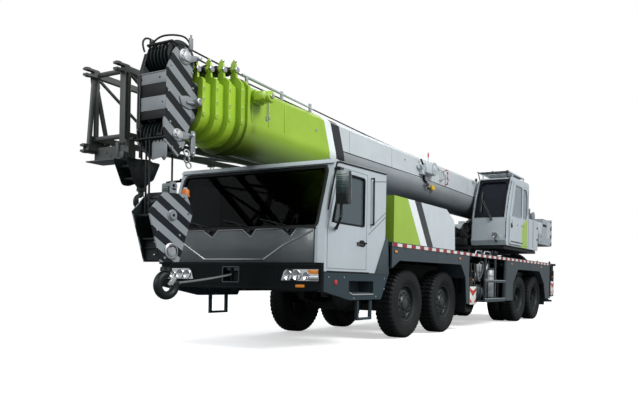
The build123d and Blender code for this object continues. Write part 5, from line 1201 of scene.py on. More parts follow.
# Boom: seam lines, ribs, slide pads, collar rollers, reels, rods, hoops and the ropes on top
boomSize = {"half": 0.38, "top": 3.37, "steps": 0.042, "mouths": (5.52, 5.69, 5.86, 6.03)}
for side, out in sideNames:
    face = out * boomSize["half"]
    bm = bmesh.new()
    line = [(3.17, 2.945), (0.56, 2.975), (-2.35, 2.945), (-4.1, 2.93)]
    for a, b in zip(line, line[1:]):
        addBar(bm, (a[0], face, a[1]), (b[0], face, b[1]), 0.007, sides=6)
    asPiece(f"boomSeam_{side}", bm, "boom_1", "trim", "trim")
    bm = bmesh.new()
    for x in (-2.0, -0.2, 1.6, 3.0):
        addBox(bm, (x - 0.002, face - out * 0.003, 2.96), (x + 0.002, face + out * 0.001, 3.31), paint=0)
    for x, z in ((-0.40, 3.28), (-0.93, 3.125), (1.1, 3.2), (3.9, 3.12)):
        addBar(bm, (x, face, z), (x, face + out * 0.006, z), 0.022, sides=20, paint=1, bevel=0.002)
    # ribs around the tube behind its mouth
    for x in (4.62, 4.95, 5.28):
        addBox(bm, (x - 0.008, face - out * 0.004, 2.92), (x + 0.008, face + out * 0.007, 3.32), paint=2,
               bevel=0.002)
    # slide pads bolted around the collar
    for shrink, x in enumerate(boomSize["mouths"]):
        near = out * (boomSize["half"] - shrink * boomSize["steps"] + 0.036)
        for z in (3.24 - shrink * 0.03, 3.02, 2.86):
            addBox(bm, (x - 0.038, near - out * 0.004, z - 0.035), (x - 0.008, near + out * 0.006, z + 0.035),
                   paint=2, bevel=0.003)
            addBar(bm, (x - 0.023, near, z), (x - 0.023, near + out * 0.012, z), 0.009, sides=6, paint=1)
    asPiece(f"boomPlates_{side}", bm, "boom_1", "boom_grey", "trim", "steel", "lime")

# black rollers between the collars' ears
for place, x in enumerate(boomSize["mouths"]):
    top = boomSize["top"] - place * boomSize["steps"]
    half = boomSize["half"] - place * boomSize["steps"] - 0.11
    bm = bmesh.new()
    addBar(bm, (x - 0.030, -half + 0.03, top + 0.15), (x - 0.030, half - 0.03, top + 0.15), 0.047, sides=28,
           bevel=0.004)
    for y in (-0.14, 0.0, 0.14):
        addRing(bm, 0.047, 0.06, 0.012, (x - 0.030, y, top + 0.15), (0, 1, 0), 28)
    for y in (-half - 0.03, half + 0.03):
        out = 1 if y > 0 else -1
        addBar(bm, (x - 0.030, y, top + 0.15), (x - 0.030, y + out * 0.028, top + 0.15), 0.036, sides=20,
               paint=1, bevel=0.003)
        addBar(bm, (x - 0.03, y - out * 0.03, top + 0.255), (x - 0.03, y, top + 0.255), 0.014, sides=12,
               paint=1, bevel=0.002)
    asPiece(f"collarRollers_{place + 1}", bm, f"boom_{place + 1}", "trim", "plastic", "steel")

# fittings on the left flank: cable reel with its bracket and antenna, side hook, hoops and striped post
bm = bmesh.new()
addLathe(bm, [(0.0, 0.0), (0.05, 0.0), (0.05, 0.012), (0.128, 0.018), (0.137, 0.03), (0.137, 0.105),
              (0.128, 0.118),
              (0.06, 0.126), (0.05, 0.14), (0.0, 0.145)], (0.07, 0.40, 3.185), (0, 1, 0), steps=48,
         closed=False)
addLathe(bm, [(0.085, 0.120), (0.125, 0.118), (0.125, 0.124), (0.085, 0.126)], (0.07, 0.40, 3.185), (0, 1, 0),
         steps=48, paint=4)
addBox(bm, (0.16, 0.38, 3.06), (0.42, 0.52, 3.26), paint=0, bevel=0.02)
addBox(bm, (0.36, 0.38, 3.02), (0.50, 0.46, 3.15), paint=0, bevel=0.012)
addBar(bm, (0.46, 0.44, 3.12), (0.62, 0.46, 3.20), 0.03, sides=16, paint=0, bevel=0.006)
addBar(bm, (0.40, 0.42, 3.22), (0.54, 0.44, 3.30), 0.018, sides=12, paint=1, bevel=0.004)
addBar(bm, (0.217, 0.44, 3.24), (0.217, 0.44, 3.50), 0.009, sides=12, paint=3)
addBar(bm, (0.217, 0.44, 3.40), (0.217, 0.44, 3.48), 0.014, sides=12, paint=2, bevel=0.003)
addBox(bm, (0.30, 0.385, 2.93), (0.34, 0.42, 3.08), paint=1, bevel=0.006)
asPiece("cableReel", bm, "boom_1", "boom_grey", "grey", "trim", "red", "white", "slab")
bm = bmesh.new()
addBar(bm, (0.30, 0.40, 2.95), (0.14, 0.42, 2.86), 0.018, sides=12, bevel=0.003)
addBar(bm, (0.22, 0.40, 2.93), (0.22, 0.43, 2.82), 0.022, sides=16, bevel=0.004)
addBar(bm, (0.30, 0.41, 2.86), (0.10, 0.43, 2.80), 0.012, sides=12, bevel=0.002, paint=1)
addBox(bm, (-0.13, 0.36, 2.79), (-0.02, 0.43, 2.885), bevel=0.012, paint=2)
addBox(bm, (-0.02, 0.37, 2.80), (0.10, 0.40, 2.83), bevel=0.004)
addPlate(bm, [(-0.16, 2.80), (-0.05, 2.78), (-0.09, 2.90)], "xz", 0.43, 0.436, paint=2, bevel=0.002)
asPiece("sideHook", bm, "boom_1", "trim", "plastic", "steel", "yellow")
addWire("flankHoops", [[(-0.40, 0.385, 3.25), (-0.43, 0.46, 3.25), (-0.46, 0.47, 3.22), (-0.50, 0.47, 3.09),
                        (-0.47, 0.46, 3.05), (-0.44, 0.385, 3.05)],
                       [(-0.55, 0.385, 3.24), (-0.56, 0.46, 3.24), (-0.56, 0.47, 3.20), (-0.55, 0.47, 3.09),
                        (-0.53, 0.385, 3.05)]],
        0.011, "boom_1", "step", kind="POLY")
bm = bmesh.new()
for place in range(6):
    low = 2.99 + place * 0.055
    addBar(bm, (-0.76, 0.435, low), (-0.76, 0.435, low + 0.055), 0.014, sides=12, paint=place % 2)
for z in (3.0, 3.31):
    addBar(bm, (-0.76, 0.38, z), (-0.76, 0.44, z), 0.012, sides=10, paint=0)
asPiece("flankPost", bm, "boom_1", "trim", "red", "white")

# white rod above the boom, and the small reel by the mouth with its chain and ring
bm = bmesh.new()
addBar(bm, (3.88, 0.30, 3.44), (5.38, 0.30, 3.50), 0.014, sides=14)
for x in (3.95, 4.6, 5.3):
    addBox(bm, (x - 0.02, 0.285, 3.365), (x + 0.02, 0.315, 3.50), bevel=0.004, paint=1)
asPiece("topRod", bm, "boom_1", "cab_white", "white", "headPlain")
bm = bmesh.new()
addBox(bm, (5.10, 0.42, 3.17), (5.32, 0.60, 3.29), bevel=0.03)
addBar(bm, (5.21, 0.44, 3.23), (5.21, 0.64, 3.23), 0.07, sides=32, bevel=0.01)
addBox(bm, (5.13, 0.38, 3.15), (5.29, 0.45, 3.31), bevel=0.01)
addBar(bm, (5.21, 0.64, 3.23), (5.21, 0.655, 3.23), 0.03, sides=20, paint=1, bevel=0.003)
for place in range(5):
    linkAxis = (1, 0, 0) if place % 2 else (0, 1, 0)
    addRing(bm, 0.012, 0.020, 0.004, (5.21, 0.58, 3.135 - place * 0.034), linkAxis, 14, paint=1)
addRing(bm, 0.02, 0.036, 0.008, (5.21, 0.58, 2.95), (0, 1, 0), 20, paint=1)
asPiece("mouthReel", bm, "boom_1", "lime", "lime", "steel")

# ropes from the winches over the boom to the head's upper sheaves
ropeSize = {"radius": 0.011, "rows": (-0.07, 0.07)}
runs = [[(-4.15, y, 3.40), (-1.0, y, 3.435), (2.0, y, 3.49), (5.46, y, 3.60)] for y in ropeSize["rows"]]
addWire("boomRopes", runs, ropeSize["radius"], "boom_1", "rope")
runs = [[(5.46, y, 3.60), (6.05, y, 3.635), (6.20, y, 3.648), (6.28, y, 3.644), (6.35, y, 3.615),
         (6.41, y, 3.55)]
        for y in ropeSize["rows"]]
addWire("headRopes", runs, ropeSize["radius"], "boom_5", "rope")
falls = [[(6.425, y, 3.48), (6.475, y, 3.3), (6.512, y, 3.2), (6.514, y, 2.9),
          (6.515, y, 2.6)] for y in (-0.205, -0.175)]
addWire("headFalls", falls, ropeSize["radius"], "boom_5", "rope")
bm = bmesh.new()
for x in (-3.2, -0.5, 2.2, 4.4):
    addBox(bm, (x - 0.025, -0.16, 3.368), (x + 0.025, 0.16, 3.385), bevel=0.003, paint=1)
    for y in (-0.15, 0.15):
        addBox(bm, (x - 0.02, y - 0.008, 3.37), (x + 0.02, y + 0.008, 3.43 if x < 2 else 3.46), bevel=0.002,
               paint=1)
    addBar(bm, (x, -0.15, 3.395), (x, 0.15, 3.395), 0.018, sides=16, bevel=0.002)
asPiece("ropeRollers", bm, "boom_1", "frame_black", "steel", "black")
print("boom dressed")

# Jib: plates on the front posts, gussets, pins, latches and the tube at its foot
bm = bmesh.new()
for y, z in ((-0.62, 3.39), (-1.16, 3.39), (-1.19, 2.465)):
    for up in (-1, 1):
        addBar(bm, (6.46, y, z + up * 0.047), (6.46, y, z + up * 0.055), 0.037, sides=24, bevel=0.002)
addPlate(bm, [(-0.665, 2.50), (-0.57, 2.50), (-0.57, 3.36), (-0.665, 3.36)], "yz", 6.386, 6.396, bevel=0.003)
addPlate(bm, [(6.12, 2.48), (6.44, 2.48), (6.40, 2.60), (6.36, 2.64), (6.20, 2.58)], "xz", -1.204, -1.196,
         bevel=0.003)
addPlate(bm, [(6.26, 3.24), (6.38, 3.24), (6.40, 3.40), (6.28, 3.42)], "xz", -1.208, -1.198, bevel=0.003)
addBar(bm, (6.325, -0.76, 2.30), (6.325, -0.76, 2.53), 0.036, sides=24, bevel=0.004)
addBox(bm, (6.20, -1.20, 2.296), (6.44, -0.59, 2.312), bevel=0.003)
addBox(bm, (6.22, -0.66, 2.315), (6.40, -0.585, 2.40), bevel=0.012)
addBar(bm, (6.385, -0.90, 2.40), (6.397, -0.90, 2.40), 0.02, sides=6)
for share in (0.22, 0.46, 0.70):
    x = 6.35 - share * 8.65
    z = 2.6 + share * 0.16
    y = -1.19 + share * 0.3
    addBox(bm, (x - 0.03, y - 0.06, z - 0.06), (x + 0.03, y + 0.05, z + 0.05), bevel=0.006)
# small brackets and eyes on the near chord
for x, z in ((6.0, 3.38), (5.2, 3.355), (4.2, 3.325)):
    addBox(bm, (x - 0.05, -0.665, z - 0.06), (x + 0.05, -0.575, z + 0.05), bevel=0.006)
asPiece("jibFittings", bm, "boom_1", "jib_grey", "jib")
print("jib dressed")

# Boom head: front bands, guard bar, pin bosses, keepers, shackles and the arm on top
headSize = {"half": 0.225, "front": 6.50, "top": (6.24, 3.45), "low": (6.33, 2.53)}
bm = bmesh.new()
front = headSize["front"]
for low, high, paint in ((3.09, 3.212, 0), (2.947, 3.088, 1), (2.79, 2.945, 0), (2.692, 2.788, 1)):
    addBox(bm, (front, -0.222, low), (front + 0.006, 0.222, high), paint=paint, bevel=0.0015)
for y in (-0.16, 0.13):
    addBar(bm, (front + 0.004, y, 3.15), (front + 0.010, y, 3.15), 0.012, sides=6, paint=2)
for y in (-0.17, 0.18):
    addBar(bm, (front + 0.004, y, 2.87), (front + 0.010, y, 2.87), 0.009, sides=6, paint=2)
addBox(bm, (front - 0.03, -0.222, 3.208), (front + 0.014, 0.222, 3.22), paint=0, bevel=0.003)
# cheek that closes the foot of the left plate
addPlate(bm, [(-0.01, 2.235), (0.225, 2.27), (0.225, 2.462), (-0.01, 2.45)], "yz", 6.47, 6.478, bevel=0.003,
         paint=0)
addPlate(bm, [(-0.225, 2.275), (-0.185, 2.27), (-0.185, 2.45), (-0.225, 2.455)], "yz", 6.47, 6.478,
         bevel=0.003, paint=1)
asPiece("headFront", bm, "boom_5", "head_grey", "headLight", "trim", "plastic")

bm = bmesh.new()
# guard bar ahead of the lower sheaves, and the bars that keep the ropes in their grooves
addBox(bm, (6.494, -0.29, 2.468), (6.519, 0.235, 2.486), bevel=0.004)
addBar(bm, (6.506, -0.33, 2.49), (6.506, -0.26, 2.49), 0.024, sides=16, bevel=0.004)
addBar(bm, (6.50, 0.10, 2.505), (6.50, 0.19, 2.505), 0.022, sides=16, bevel=0.004)
for x, z in ((6.035, 3.47), (6.40, 3.585), (6.17, 2.60)):
    addBar(bm, (x, -0.2, z), (x, 0.2, z), 0.016, sides=12, bevel=0.003)
for y in (-0.2, 0.2):
    addBar(bm, (6.31, y, 3.56), (6.40, y, 3.585), 0.011, sides=8)
asPiece("ropeGuards", bm, "boom_5", "frame_black", "black")

for side, out in sideNames:
    bm = bmesh.new()
    face = out * headSize["half"]
    for x, z, size in ((*headSize["top"], 0.088), (*headSize["low"], 0.074)):
        addLathe(bm, [(0.0, 0.0), (size, 0.0), (size, 0.012), (size * 0.82, 0.022), (size * 0.62, 0.022),
                      (size * 0.58, 0.042), (size * 0.2, 0.046), (0.0, 0.046)], (x, face, z), (0, out, 0),
                 steps=36, closed=False, paint=1)
        for turn in range(6):
            angle = turn * pi / 3
            spot = (x + size * 0.72 * cos(angle), face, z + size * 0.72 * sin(angle))
            addBar(bm, spot, (spot[0], face + out * 0.028, spot[2]), 0.008, sides=6, paint=2)
    # keepers and brackets that stand out rearwards
    addPlate(bm, [(6.20, 3.39), (6.31, 3.40), (6.31, 3.43), (6.10, 3.50), (6.04, 3.495), (6.05, 3.46)], "xz",
             face + out * 0.022, face + out * 0.036, corner=0.01, bevel=0.003)
    addBar(bm, (6.07, face, 3.478), (6.07, face + out * 0.075, 3.478), 0.021, sides=16, paint=1, bevel=0.003)
    addPlate(bm, [(6.32, 2.98), (6.20, 3.01), (6.07, 2.985), (6.06, 2.90), (6.17, 2.86), (6.29, 2.885)], "xz",
             face, face + out * 0.016, corner=0.02, bevel=0.004)
    addBar(bm, (6.10, face, 2.965), (6.10, face + out * 0.10, 2.965), 0.026, sides=18, bevel=0.004)
    addBar(bm, (6.22, face + out * 0.012, 2.93), (6.04, face + out * 0.055, 2.945), 0.020, sides=12,
           bevel=0.003)
    addBar(bm, (6.10, face + out * 0.085, 2.965), (6.10, face + out * 0.10, 2.965), 0.034, sides=18, paint=1,
           bevel=0.003)
    addPlate(bm, [(6.40, 2.50), (6.29, 2.58), (6.15, 2.575), (6.12, 2.545), (6.26, 2.49)], "xz",
             face + out * 0.02, face + out * 0.034, corner=0.012, bevel=0.003)
    addBar(bm, (6.165, face, 2.556), (6.165, face + out * 0.09, 2.556), 0.019, sides=16, paint=1, bevel=0.003)
    # hanging lug at the rear lower edge, clamp and shackles
    addPlate(bm, [(6.145, 2.62), (6.085, 2.62), (6.075, 2.36), (6.11, 2.31), (6.15, 2.36)], "xz",
             face - out * 0.005, face + out * 0.020, corner=0.014, bevel=0.004)
    addBar(bm, (6.115, face - out * 0.02, 2.36), (6.115, face + out * 0.035, 2.36), 0.016, sides=12, paint=1,
           bevel=0.002)
    for x, z, tilt in ((6.22, 2.345, 0), (6.215, 2.27, 1), (6.185, 2.21, 0)) if out > 0 else ():
        linkAxis = (1, 0, 0) if tilt else (0, 1, 0.2)
        addRing(bm, 0.030, 0.044, 0.007, (x, face + out * 0.03, z), linkAxis, 20, paint=1)
    for x, z in ((6.43, 3.30), (6.47, 3.0), (6.47, 2.78), (6.13, 3.30), (6.12, 3.12), (6.11, 2.78),
                 (6.44, 2.66), (6.30, 2.40), (6.41, 2.38)):
        addBar(bm, (x, face, z), (x, face + out * 0.009, z), 0.013, sides=6, paint=2)
    asPiece(f"headBosses_{side}", bm, "boom_5", "head_grey", "headLight", "step", "steel")
# arm on top with its small hook, and the hose clip
addWire("headTopArm", [[(6.44, -0.2, 3.50), (6.47, -0.21, 3.58), (6.43, -0.22, 3.665), (6.36, -0.22, 3.69),
                        (6.32, -0.21, 3.67)],
                       [(6.36, -0.2, 3.60), (6.34, -0.12, 3.70), (6.25, 0.05, 3.735), (6.16, 0.2, 3.70),
                        (6.15, 0.215, 3.58)]],
        0.011, "boom_5", "black", kind="NURBS")
bm = bmesh.new()
addBox(bm, (6.12, 0.20, 3.56), (6.17, 0.228, 3.70), bevel=0.006)
addBar(bm, (6.145, 0.214, 3.69), (6.145, 0.214, 3.735), 0.012, sides=12, bevel=0.002)
addBox(bm, (6.30, -0.225, 3.60), (6.36, -0.19, 3.68), bevel=0.006, paint=1)
asPiece("headTopClip", bm, "boom_5", "head_grey", "headLight", "plastic")
print("boom head dressed")

# Sheaves: bright hub and darker webs between the flanges
bm = bmesh.new()
for x, z, size in ((*headSize["top"], 0.195), (*headSize["low"], 0.178)):
    for out in (1, -1):
        face = out * 0.165
        addLathe(bm, [(0.045, 0.0), (size * 0.45, 0.0), (size * 0.45, 0.012), (0.045, 0.03)], (x, face, z),
                 (0, out, 0), steps=32, paint=1)
        addLathe(bm, [(size * 0.80, 0.0), (size * 0.985, 0.0), (size * 0.985, 0.010), (size * 0.80, 0.004)],
                 (x, face, z), (0, out, 0), steps=48, paint=0)
asPiece("sheaveHubs", bm, "boom_5", "cast", "cast", "steel")

# Hook block: bosses, eye, lamp, bolts, cover plates, latch and the mooring rope
hookSize = {"x": 6.308, "z": 1.62, "half": 0.14}
for side, out in sideNames:
    bm = bmesh.new()
    face = out * hookSize["half"]
    addLathe(bm, [(0.0, 0.0), (0.066, 0.0), (0.066, 0.008), (0.052, 0.013), (0.047, 0.028), (0.018, 0.029),
                  (0.016, 0.025), (0.0, 0.025)], (hookSize["x"], face, hookSize["z"]), (0, out, 0), steps=32,
             closed=False, paint=0)
    addLathe(bm, [(0.0, 0.004), (0.094, 0.0), (0.094, 0.012), (0.083, 0.019), (0.076, 0.019), (0.072, 0.008),
                  (0.05, 0.008),
                  (0.048, 0.029), (0.022, 0.030), (0.0, 0.027)], (6.318, face, 1.21), (0, out, 0), steps=40,
             closed=False, paint=1)
    for x, z in ((6.07, 1.665), (6.54, 1.68), (6.52, 1.44), (6.20, 1.40), (6.26, 1.13), (6.41, 1.13),
                 (6.14, 1.84)):
        addBar(bm, (x, face, z), (x, face + out * 0.010, z), 0.015, sides=6, paint=2)
    asPiece(f"hookBosses_{side}", bm, "hook_block", "head_grey", "headLight", "step", "steel")
bm = bmesh.new()
addRing(bm, 0.022, 0.05, 0.012, (6.28, 0.118, 1.965), (0, 1, 0), 28)
addBox(bm, (6.235, 0.106, 1.852), (6.325, 0.13, 1.94), bevel=0.004)
addBox(bm, (6.22, 0.098, 1.852), (6.34, 0.138, 1.868), bevel=0.004)
asPiece("ropeEye", bm, "hook_block", "head_grey", "headLight")
bm = bmesh.new()
addLathe(bm, [(0.0, 0.0), (0.052, 0.0), (0.052, 0.014), (0.046, 0.018), (0.046, 0.075), (0.038, 0.088),
              (0.0, 0.092)],
         (6.06, 0.075, 1.868), (0, 0, 1), steps=28, closed=False)
addLathe(bm, [(0.0, 0.09), (0.024, 0.09), (0.024, 0.108), (0.0, 0.112)], (6.06, 0.075, 1.868), (0, 0, 1),
         steps=20, closed=False, paint=1)
asPiece("hookLamp", bm, "hook_block", "lens", "orange", "step")
# covers and cross bars between the plates
bm = bmesh.new()
addPlate(bm, [(6.43, 1.868), (6.435, 1.80), (6.475, 1.80), (6.44, 1.872)], "xz", -0.112, 0.112, bevel=0.003)
for x, z in ((6.56, 1.60), (6.49, 1.34), (6.455, 1.24)):
    addBar(bm, (x, -0.118, z), (x, 0.118, z), 0.014, sides=12, bevel=0.002)
for place in range(3):
    z = 1.32 - place * 0.075
    addBox(bm, (6.448, 0.02, z - 0.018), (6.462, 0.05, z), bevel=0.003, paint=1)
addBox(bm, (6.02, -0.11, 1.70), (6.032, 0.11, 1.83), bevel=0.003)
asPiece("hookCovers", bm, "hook_block", "frame_black", "black", "steel")
# nut and collar over the hook's shank, and the spring latch across its mouth
bm = bmesh.new()
addBar(bm, (6.263, 0, 1.06), (6.262, 0, 1.105), 0.075, sides=6, bevel=0.006)
addLathe(bm, [(0.046, -0.02), (0.068, -0.02), (0.062, 0.03), (0.046, 0.03)], (6.256, 0, 1.0), (0, 0, 1),
         steps=32)
asPiece("shankCollar", bm, "hook_block", "cast", "greaseBlack")
latchTurn = Matrix.Rotation(radians(52), 3, "Y")
bm = bmesh.new()
addBox(bm, (6.09, -0.022, 0.862), (6.225, 0.022, 0.874), turn=latchTurn, bevel=0.004)
addBar(bm, (6.205, -0.035, 0.952), (6.205, 0.035, 0.952), 0.013, sides=16, bevel=0.003)
for y in (-0.026, 0.026):
    addBox(bm, (6.10, y - 0.003, 0.85), (6.215, y + 0.003, 0.882), turn=latchTurn, bevel=0.001)
asPiece("hookLatch", bm, "hook_block", "bare_steel", "step")
mooringSize = {"hook": (6.14, -0.005, 0.84), "bumper": (5.085, -0.085, 0.965), "sag": 0.012, "radius": 0.014}
rope = []
for place in range(13):
    share = place / 12
    spot = Vector(mooringSize["hook"]).lerp(Vector(mooringSize["bumper"]), share)
    spot.z -= mooringSize["sag"] * 4 * share * (1 - share)
    rope.append(spot)
addWire("mooringRope", [rope], mooringSize["radius"], "carrier", "mooring", kind="NURBS")
print("hook block dressed")

# Second hook: cheeks and pin of its sheave, square foot of the hook, a ring under the cheeks
bm = bmesh.new()
for y in (-0.552, -0.348):
    out = 1 if y > -0.45 else -1
    addLathe(bm, [(0.0, 0.0), (0.112, 0.0), (0.112, 0.012), (0.10, 0.018), (0.04, 0.018), (0.036, 0.034),
                  (0.0, 0.036)],
             (6.25, y, 2.19), (0, out, 0), steps=36, closed=False)
for y in (-0.560, -0.346):
    addPlate(bm, [(6.07, 2.285), (6.17, 2.06), (6.34, 1.985), (6.43, 1.985), (6.56, 2.285)], "xz", y,
             y + 0.01, corner=0.03, bevel=0.002)
for x, z in ((6.44, 2.20), (6.40, 2.06)):
    addBar(bm, (x, -0.566, z), (x, -0.33, z), 0.018, sides=16, bevel=0.003)
addBox(bm, (6.29, -0.47, 1.755), (6.345, -0.43, 1.835), bevel=0.008)
addRing(bm, 0.033, 0.05, 0.02, (6.25, -0.45, 1.95), (0, 0, 1), 28)
asPiece("smallHookCheeks", bm, "aux_hook", "cast", "greaseBlack")
print("second hook dressed")

# Operator's cab: black surround of the glass, wiper, lamp, rubbers, handle, hinges and guard
opSize = {"doorFace": 1.3353, "screen": (0.510, 1.240)}
frontLine = [(-2.152, 2.40), (-2.301, 2.90), (-2.501, 3.30)]


def onFront(z, lift=0.0):
    for (x0, z0), (x1, z1) in zip(frontLine, frontLine[1:]):
        if z <= z1 or (x1, z1) == frontLine[-1]:
            share = (z - z0) / (z1 - z0)
            slope = (x1 - x0) / (z1 - z0)
            size = (1 + slope * slope) ** 0.5
            return x0 + (x1 - x0) * share + lift / size, z - slope * lift / size


bm = bmesh.new()
levels = [2.43, 2.60, 2.75, 2.90, 3.05, 3.20, 3.345]
for y0, y1 in ((0.510, 0.545), (1.205, 1.240)):
    for low, high in zip(levels, levels[1:]):
        ends = [onFront(low, 0.006), onFront(low, 0.016), onFront(high, 0.016), onFront(high, 0.006)]
        addPlate(bm, ends, "xz", y0, y1)
for z0, z1 in ((2.425, 2.468), (3.275, 3.35)):
    ends = [onFront(z0, 0.006), onFront(z0, 0.016), onFront(z1, 0.016), onFront(z1, 0.006)]
    addPlate(bm, ends, "xz", *opSize["screen"])
for y in (0.545, 1.205):
    turn = 1 if y < 1 else -1
    for z in (2.468, 3.275):
        up = 1 if z < 3 else -1
        for place in range(5):
            a = onFront(z + up * 0.014 * place, 0.008)
            addBar(bm, (a[0], y, a[1]), (a[0], y + turn * (0.07 - place * 0.016), a[1]), 0.010, sides=6)
asPiece("opScreenSurround", bm, "turntable", "trim", "trim")
# wiper: foot, arm and blade
bm = bmesh.new()
foot = onFront(2.37, 0.02)
middle = onFront(2.82, 0.055)
tip = onFront(3.02, 0.04)
low = onFront(2.55, 0.045)
addBar(bm, (foot[0] - 0.03, 0.93, foot[1]), (foot[0] + 0.02, 0.93, foot[1]), 0.024, sides=20, bevel=0.004)
addBar(bm, (foot[0] + 0.012, 0.93, foot[1]), (middle[0], 0.66, middle[1]), 0.012, sides=10)
addBar(bm, (foot[0] + 0.012, 0.965, foot[1]), (middle[0], 0.70, middle[1]), 0.009, sides=8)
addBar(bm, (low[0], 0.665, low[1]), (tip[0], 0.64, tip[1]), 0.013, sides=8)
asPiece("opWiper", bm, "turntable", "trim", "cast")
# round lamp with its stem, and the seams of the front panel
bm = bmesh.new()
addLathe(bm, [(0.0, -0.07), (0.035, -0.06), (0.062, -0.02), (0.070, 0.01), (0.074, 0.02), (0.066, 0.026),
              (0.0, 0.018)],
         (-2.0, 1.08, 2.005), (1, 0, -0.12), steps=36, closed=False, paint=0)
addLathe(bm, [(0.0, 0.014), (0.064, 0.019), (0.05, 0.03), (0.0, 0.036)], (-2.0, 1.08, 2.005), (1, 0, -0.12),
         steps=36, closed=False, paint=1)
addBar(bm, (-2.005, 1.08, 1.94), (-2.005, 1.08, 1.885), 0.014, sides=12, paint=2)
addBar(bm, (-2.12, 1.08, 1.875), (-1.995, 1.08, 1.88), 0.017, sides=12, paint=2, bevel=0.003)
asPiece("opLamp", bm, "turntable", "bare_steel", "chrome", "lens", "trim")
bm = bmesh.new()
for y in (0.462, 1.288):
    for (x0, z0), (x1, z1) in (((-2.112, 1.93), (-2.150, 2.41)), ((-2.150, 2.41), (-2.30, 2.90)),
                               ((-2.30, 2.90), (-2.52, 3.325))):
        addBar(bm, (x0, y, z0), (x1, y, z1), 0.007, sides=6)
    for x, z in ((-2.118, 2.0), (-2.138, 2.30), (-2.225, 2.66), (-2.40, 3.10)):
        addBar(bm, (x - 0.01, y, z), (x + 0.012, y, z), 0.012, sides=8)
addBar(bm, (-2.115, 0.47, 1.905), (-2.115, 1.28, 1.905), 0.004, sides=6)
asPiece("opSeams", bm, "turntable", "trim", "trim")
# sliding door: window rubber, lock, seam, rail
bm = bmesh.new()
face = opSize["doorFace"]
window = [(-3.17, 2.48), (-2.42, 2.48), (-2.66, 3.235), (-3.17, 3.235)]
addPlate(bm, window, "xz", face - 0.004, face + 0.006, corner=0.06, hollow=0.016, bevel=0.002, paint=1)
addPlate(bm, [(-2.46, 2.20), (-2.36, 2.20), (-2.36, 2.31), (-2.46, 2.31)], "xz", face, face + 0.004,
         corner=0.02, paint=0)
addBar(bm, (-2.41, face + 0.004, 2.285), (-2.41, face + 0.02, 2.225), 0.011, sides=10, bevel=0.003)
for x, z in ((-2.85, 2.30), (-3.17, 2.30)):
    addBar(bm, (x, face, z), (x, face + 0.006, z), 0.016, sides=16, bevel=0.002)
addBox(bm, (-3.25, face - 0.002, 1.878), (-2.36, face + 0.010, 1.898), bevel=0.003)
asPiece("opDoorTrim", bm, "operator_door", "trim", "trim", "slab")
bm = bmesh.new()
rear = [(-3.74, 2.65), (-3.66, 2.50), (-3.32, 2.50), (-3.32, 3.24), (-3.64, 3.24), (-3.74, 3.05)]
addPlate(bm, rear, "xz", 1.296, 1.3042, corner=0.04, hollow=0.014, bevel=0.002, paint=1)
addBar(bm, (-3.47, 1.29, 2.32), (-3.47, 1.304, 2.32), 0.02, sides=20, bevel=0.002)
addBar(bm, (-3.80, 1.300, 2.62), (-3.80, 1.300, 3.25), 0.004, sides=6)
for z in (2.05, 2.35):
    addBox(bm, (-4.66, 1.298, z), (-4.60, 1.310, z + 0.05), bevel=0.003)
addBar(bm, (-3.855, 1.300, 1.80), (-3.855, 1.300, 2.55), 0.004, sides=6)
addBar(bm, (-4.26, 1.302, 1.84), (-4.26, 1.302, 2.53), 0.004, sides=6)
asPiece("opSideTrim", bm, "turntable", "trim", "trim", "slab")
# slats and rails of the roof guard, and the lamps at the cab's corners
bm = bmesh.new()
for place in range(16):
    x = -3.60 + place * 0.082
    addBox(bm, (x, 0.52, 3.498), (x + 0.014, 1.235, 3.514), bevel=0.002)
for y in (0.51, 0.875, 1.24):
    addBar(bm, (-3.62, y, 3.513), (-2.31, y, 3.513), 0.011, sides=8)
for y in (0.53, 1.22):
    addBar(bm, (-2.30, y, 3.51), (-2.40, y, 3.36), 0.011, sides=8)
asPiece("opRoofGuard", bm, "turntable", "frame_black", "greaseBlack")
bm = bmesh.new()
for x, y in ((-2.33, 0.47), (-2.33, 1.28)):
    addBox(bm, (x - 0.03, y - 0.02, 3.30), (x + 0.03, y + 0.02, 3.37), bevel=0.008, paint=1)
    addBar(bm, (x + 0.03, y, 3.335), (x + 0.038, y, 3.335), 0.02, sides=16, paint=0)
asPiece("opCornerLamps", bm, "turntable", "lens", "lens", "plastic")
print("operator's cab dressed")

# Turntable: plates' edges, pins, hoses, struts, valve bank and small winch behind the cab
bm = bmesh.new()
for out in (1, -1):
    face = out * 0.45
    addLathe(bm, [(0.0, 0.0), (0.13, 0.0), (0.13, 0.014), (0.09, 0.024), (0.085, 0.045), (0.0, 0.048)],
             (-4.7, face, 2.75), (0, out, 0), steps=40, closed=False, paint=1)
    for turn in range(8):
        angle = turn * pi / 4
        spot = (-4.7 + 0.11 * cos(angle), face, 2.75 + 0.11 * sin(angle))
        addBar(bm, spot, (spot[0], face + out * 0.022, spot[2]), 0.011, sides=6, paint=2)
    for (x0, z0), (x1, z1) in (((-4.44, 2.75), (-3.2, 2.10)), ((-3.2, 2.10), (-2.66, 2.06)),
                               ((-4.93, 2.81), (-4.98, 1.79))):
        addBar(bm, (x0, face, z0), (x1, face, z1), 0.014, sides=8)
    for x in (-4.4, -3.9, -3.4):
        addBox(bm, (x - 0.012, face - out * 0.002, 1.79), (x + 0.012, face + out * 0.05, 2.0), bevel=0.004)
asPiece("mastTrim", bm, "turntable", "frame_black", "black", "cast", "steel")
bm = bmesh.new()
for turn in range(28):
    angle = turn * pi / 14
    spot = (-3.0 + 0.735 * cos(angle), 0.735 * sin(angle))
    addBar(bm, (*spot, 1.655), (*spot, 1.70), 0.015, sides=6, paint=1)
addLathe(bm, [(0.68, 1.60), (0.76, 1.60), (0.76, 1.655), (0.68, 1.655)], (-3.0, 0, 0), (0, 0, 1), steps=72)
asPiece("slewRing", bm, "turntable", "cast", "cast", "steel")
hoses = []
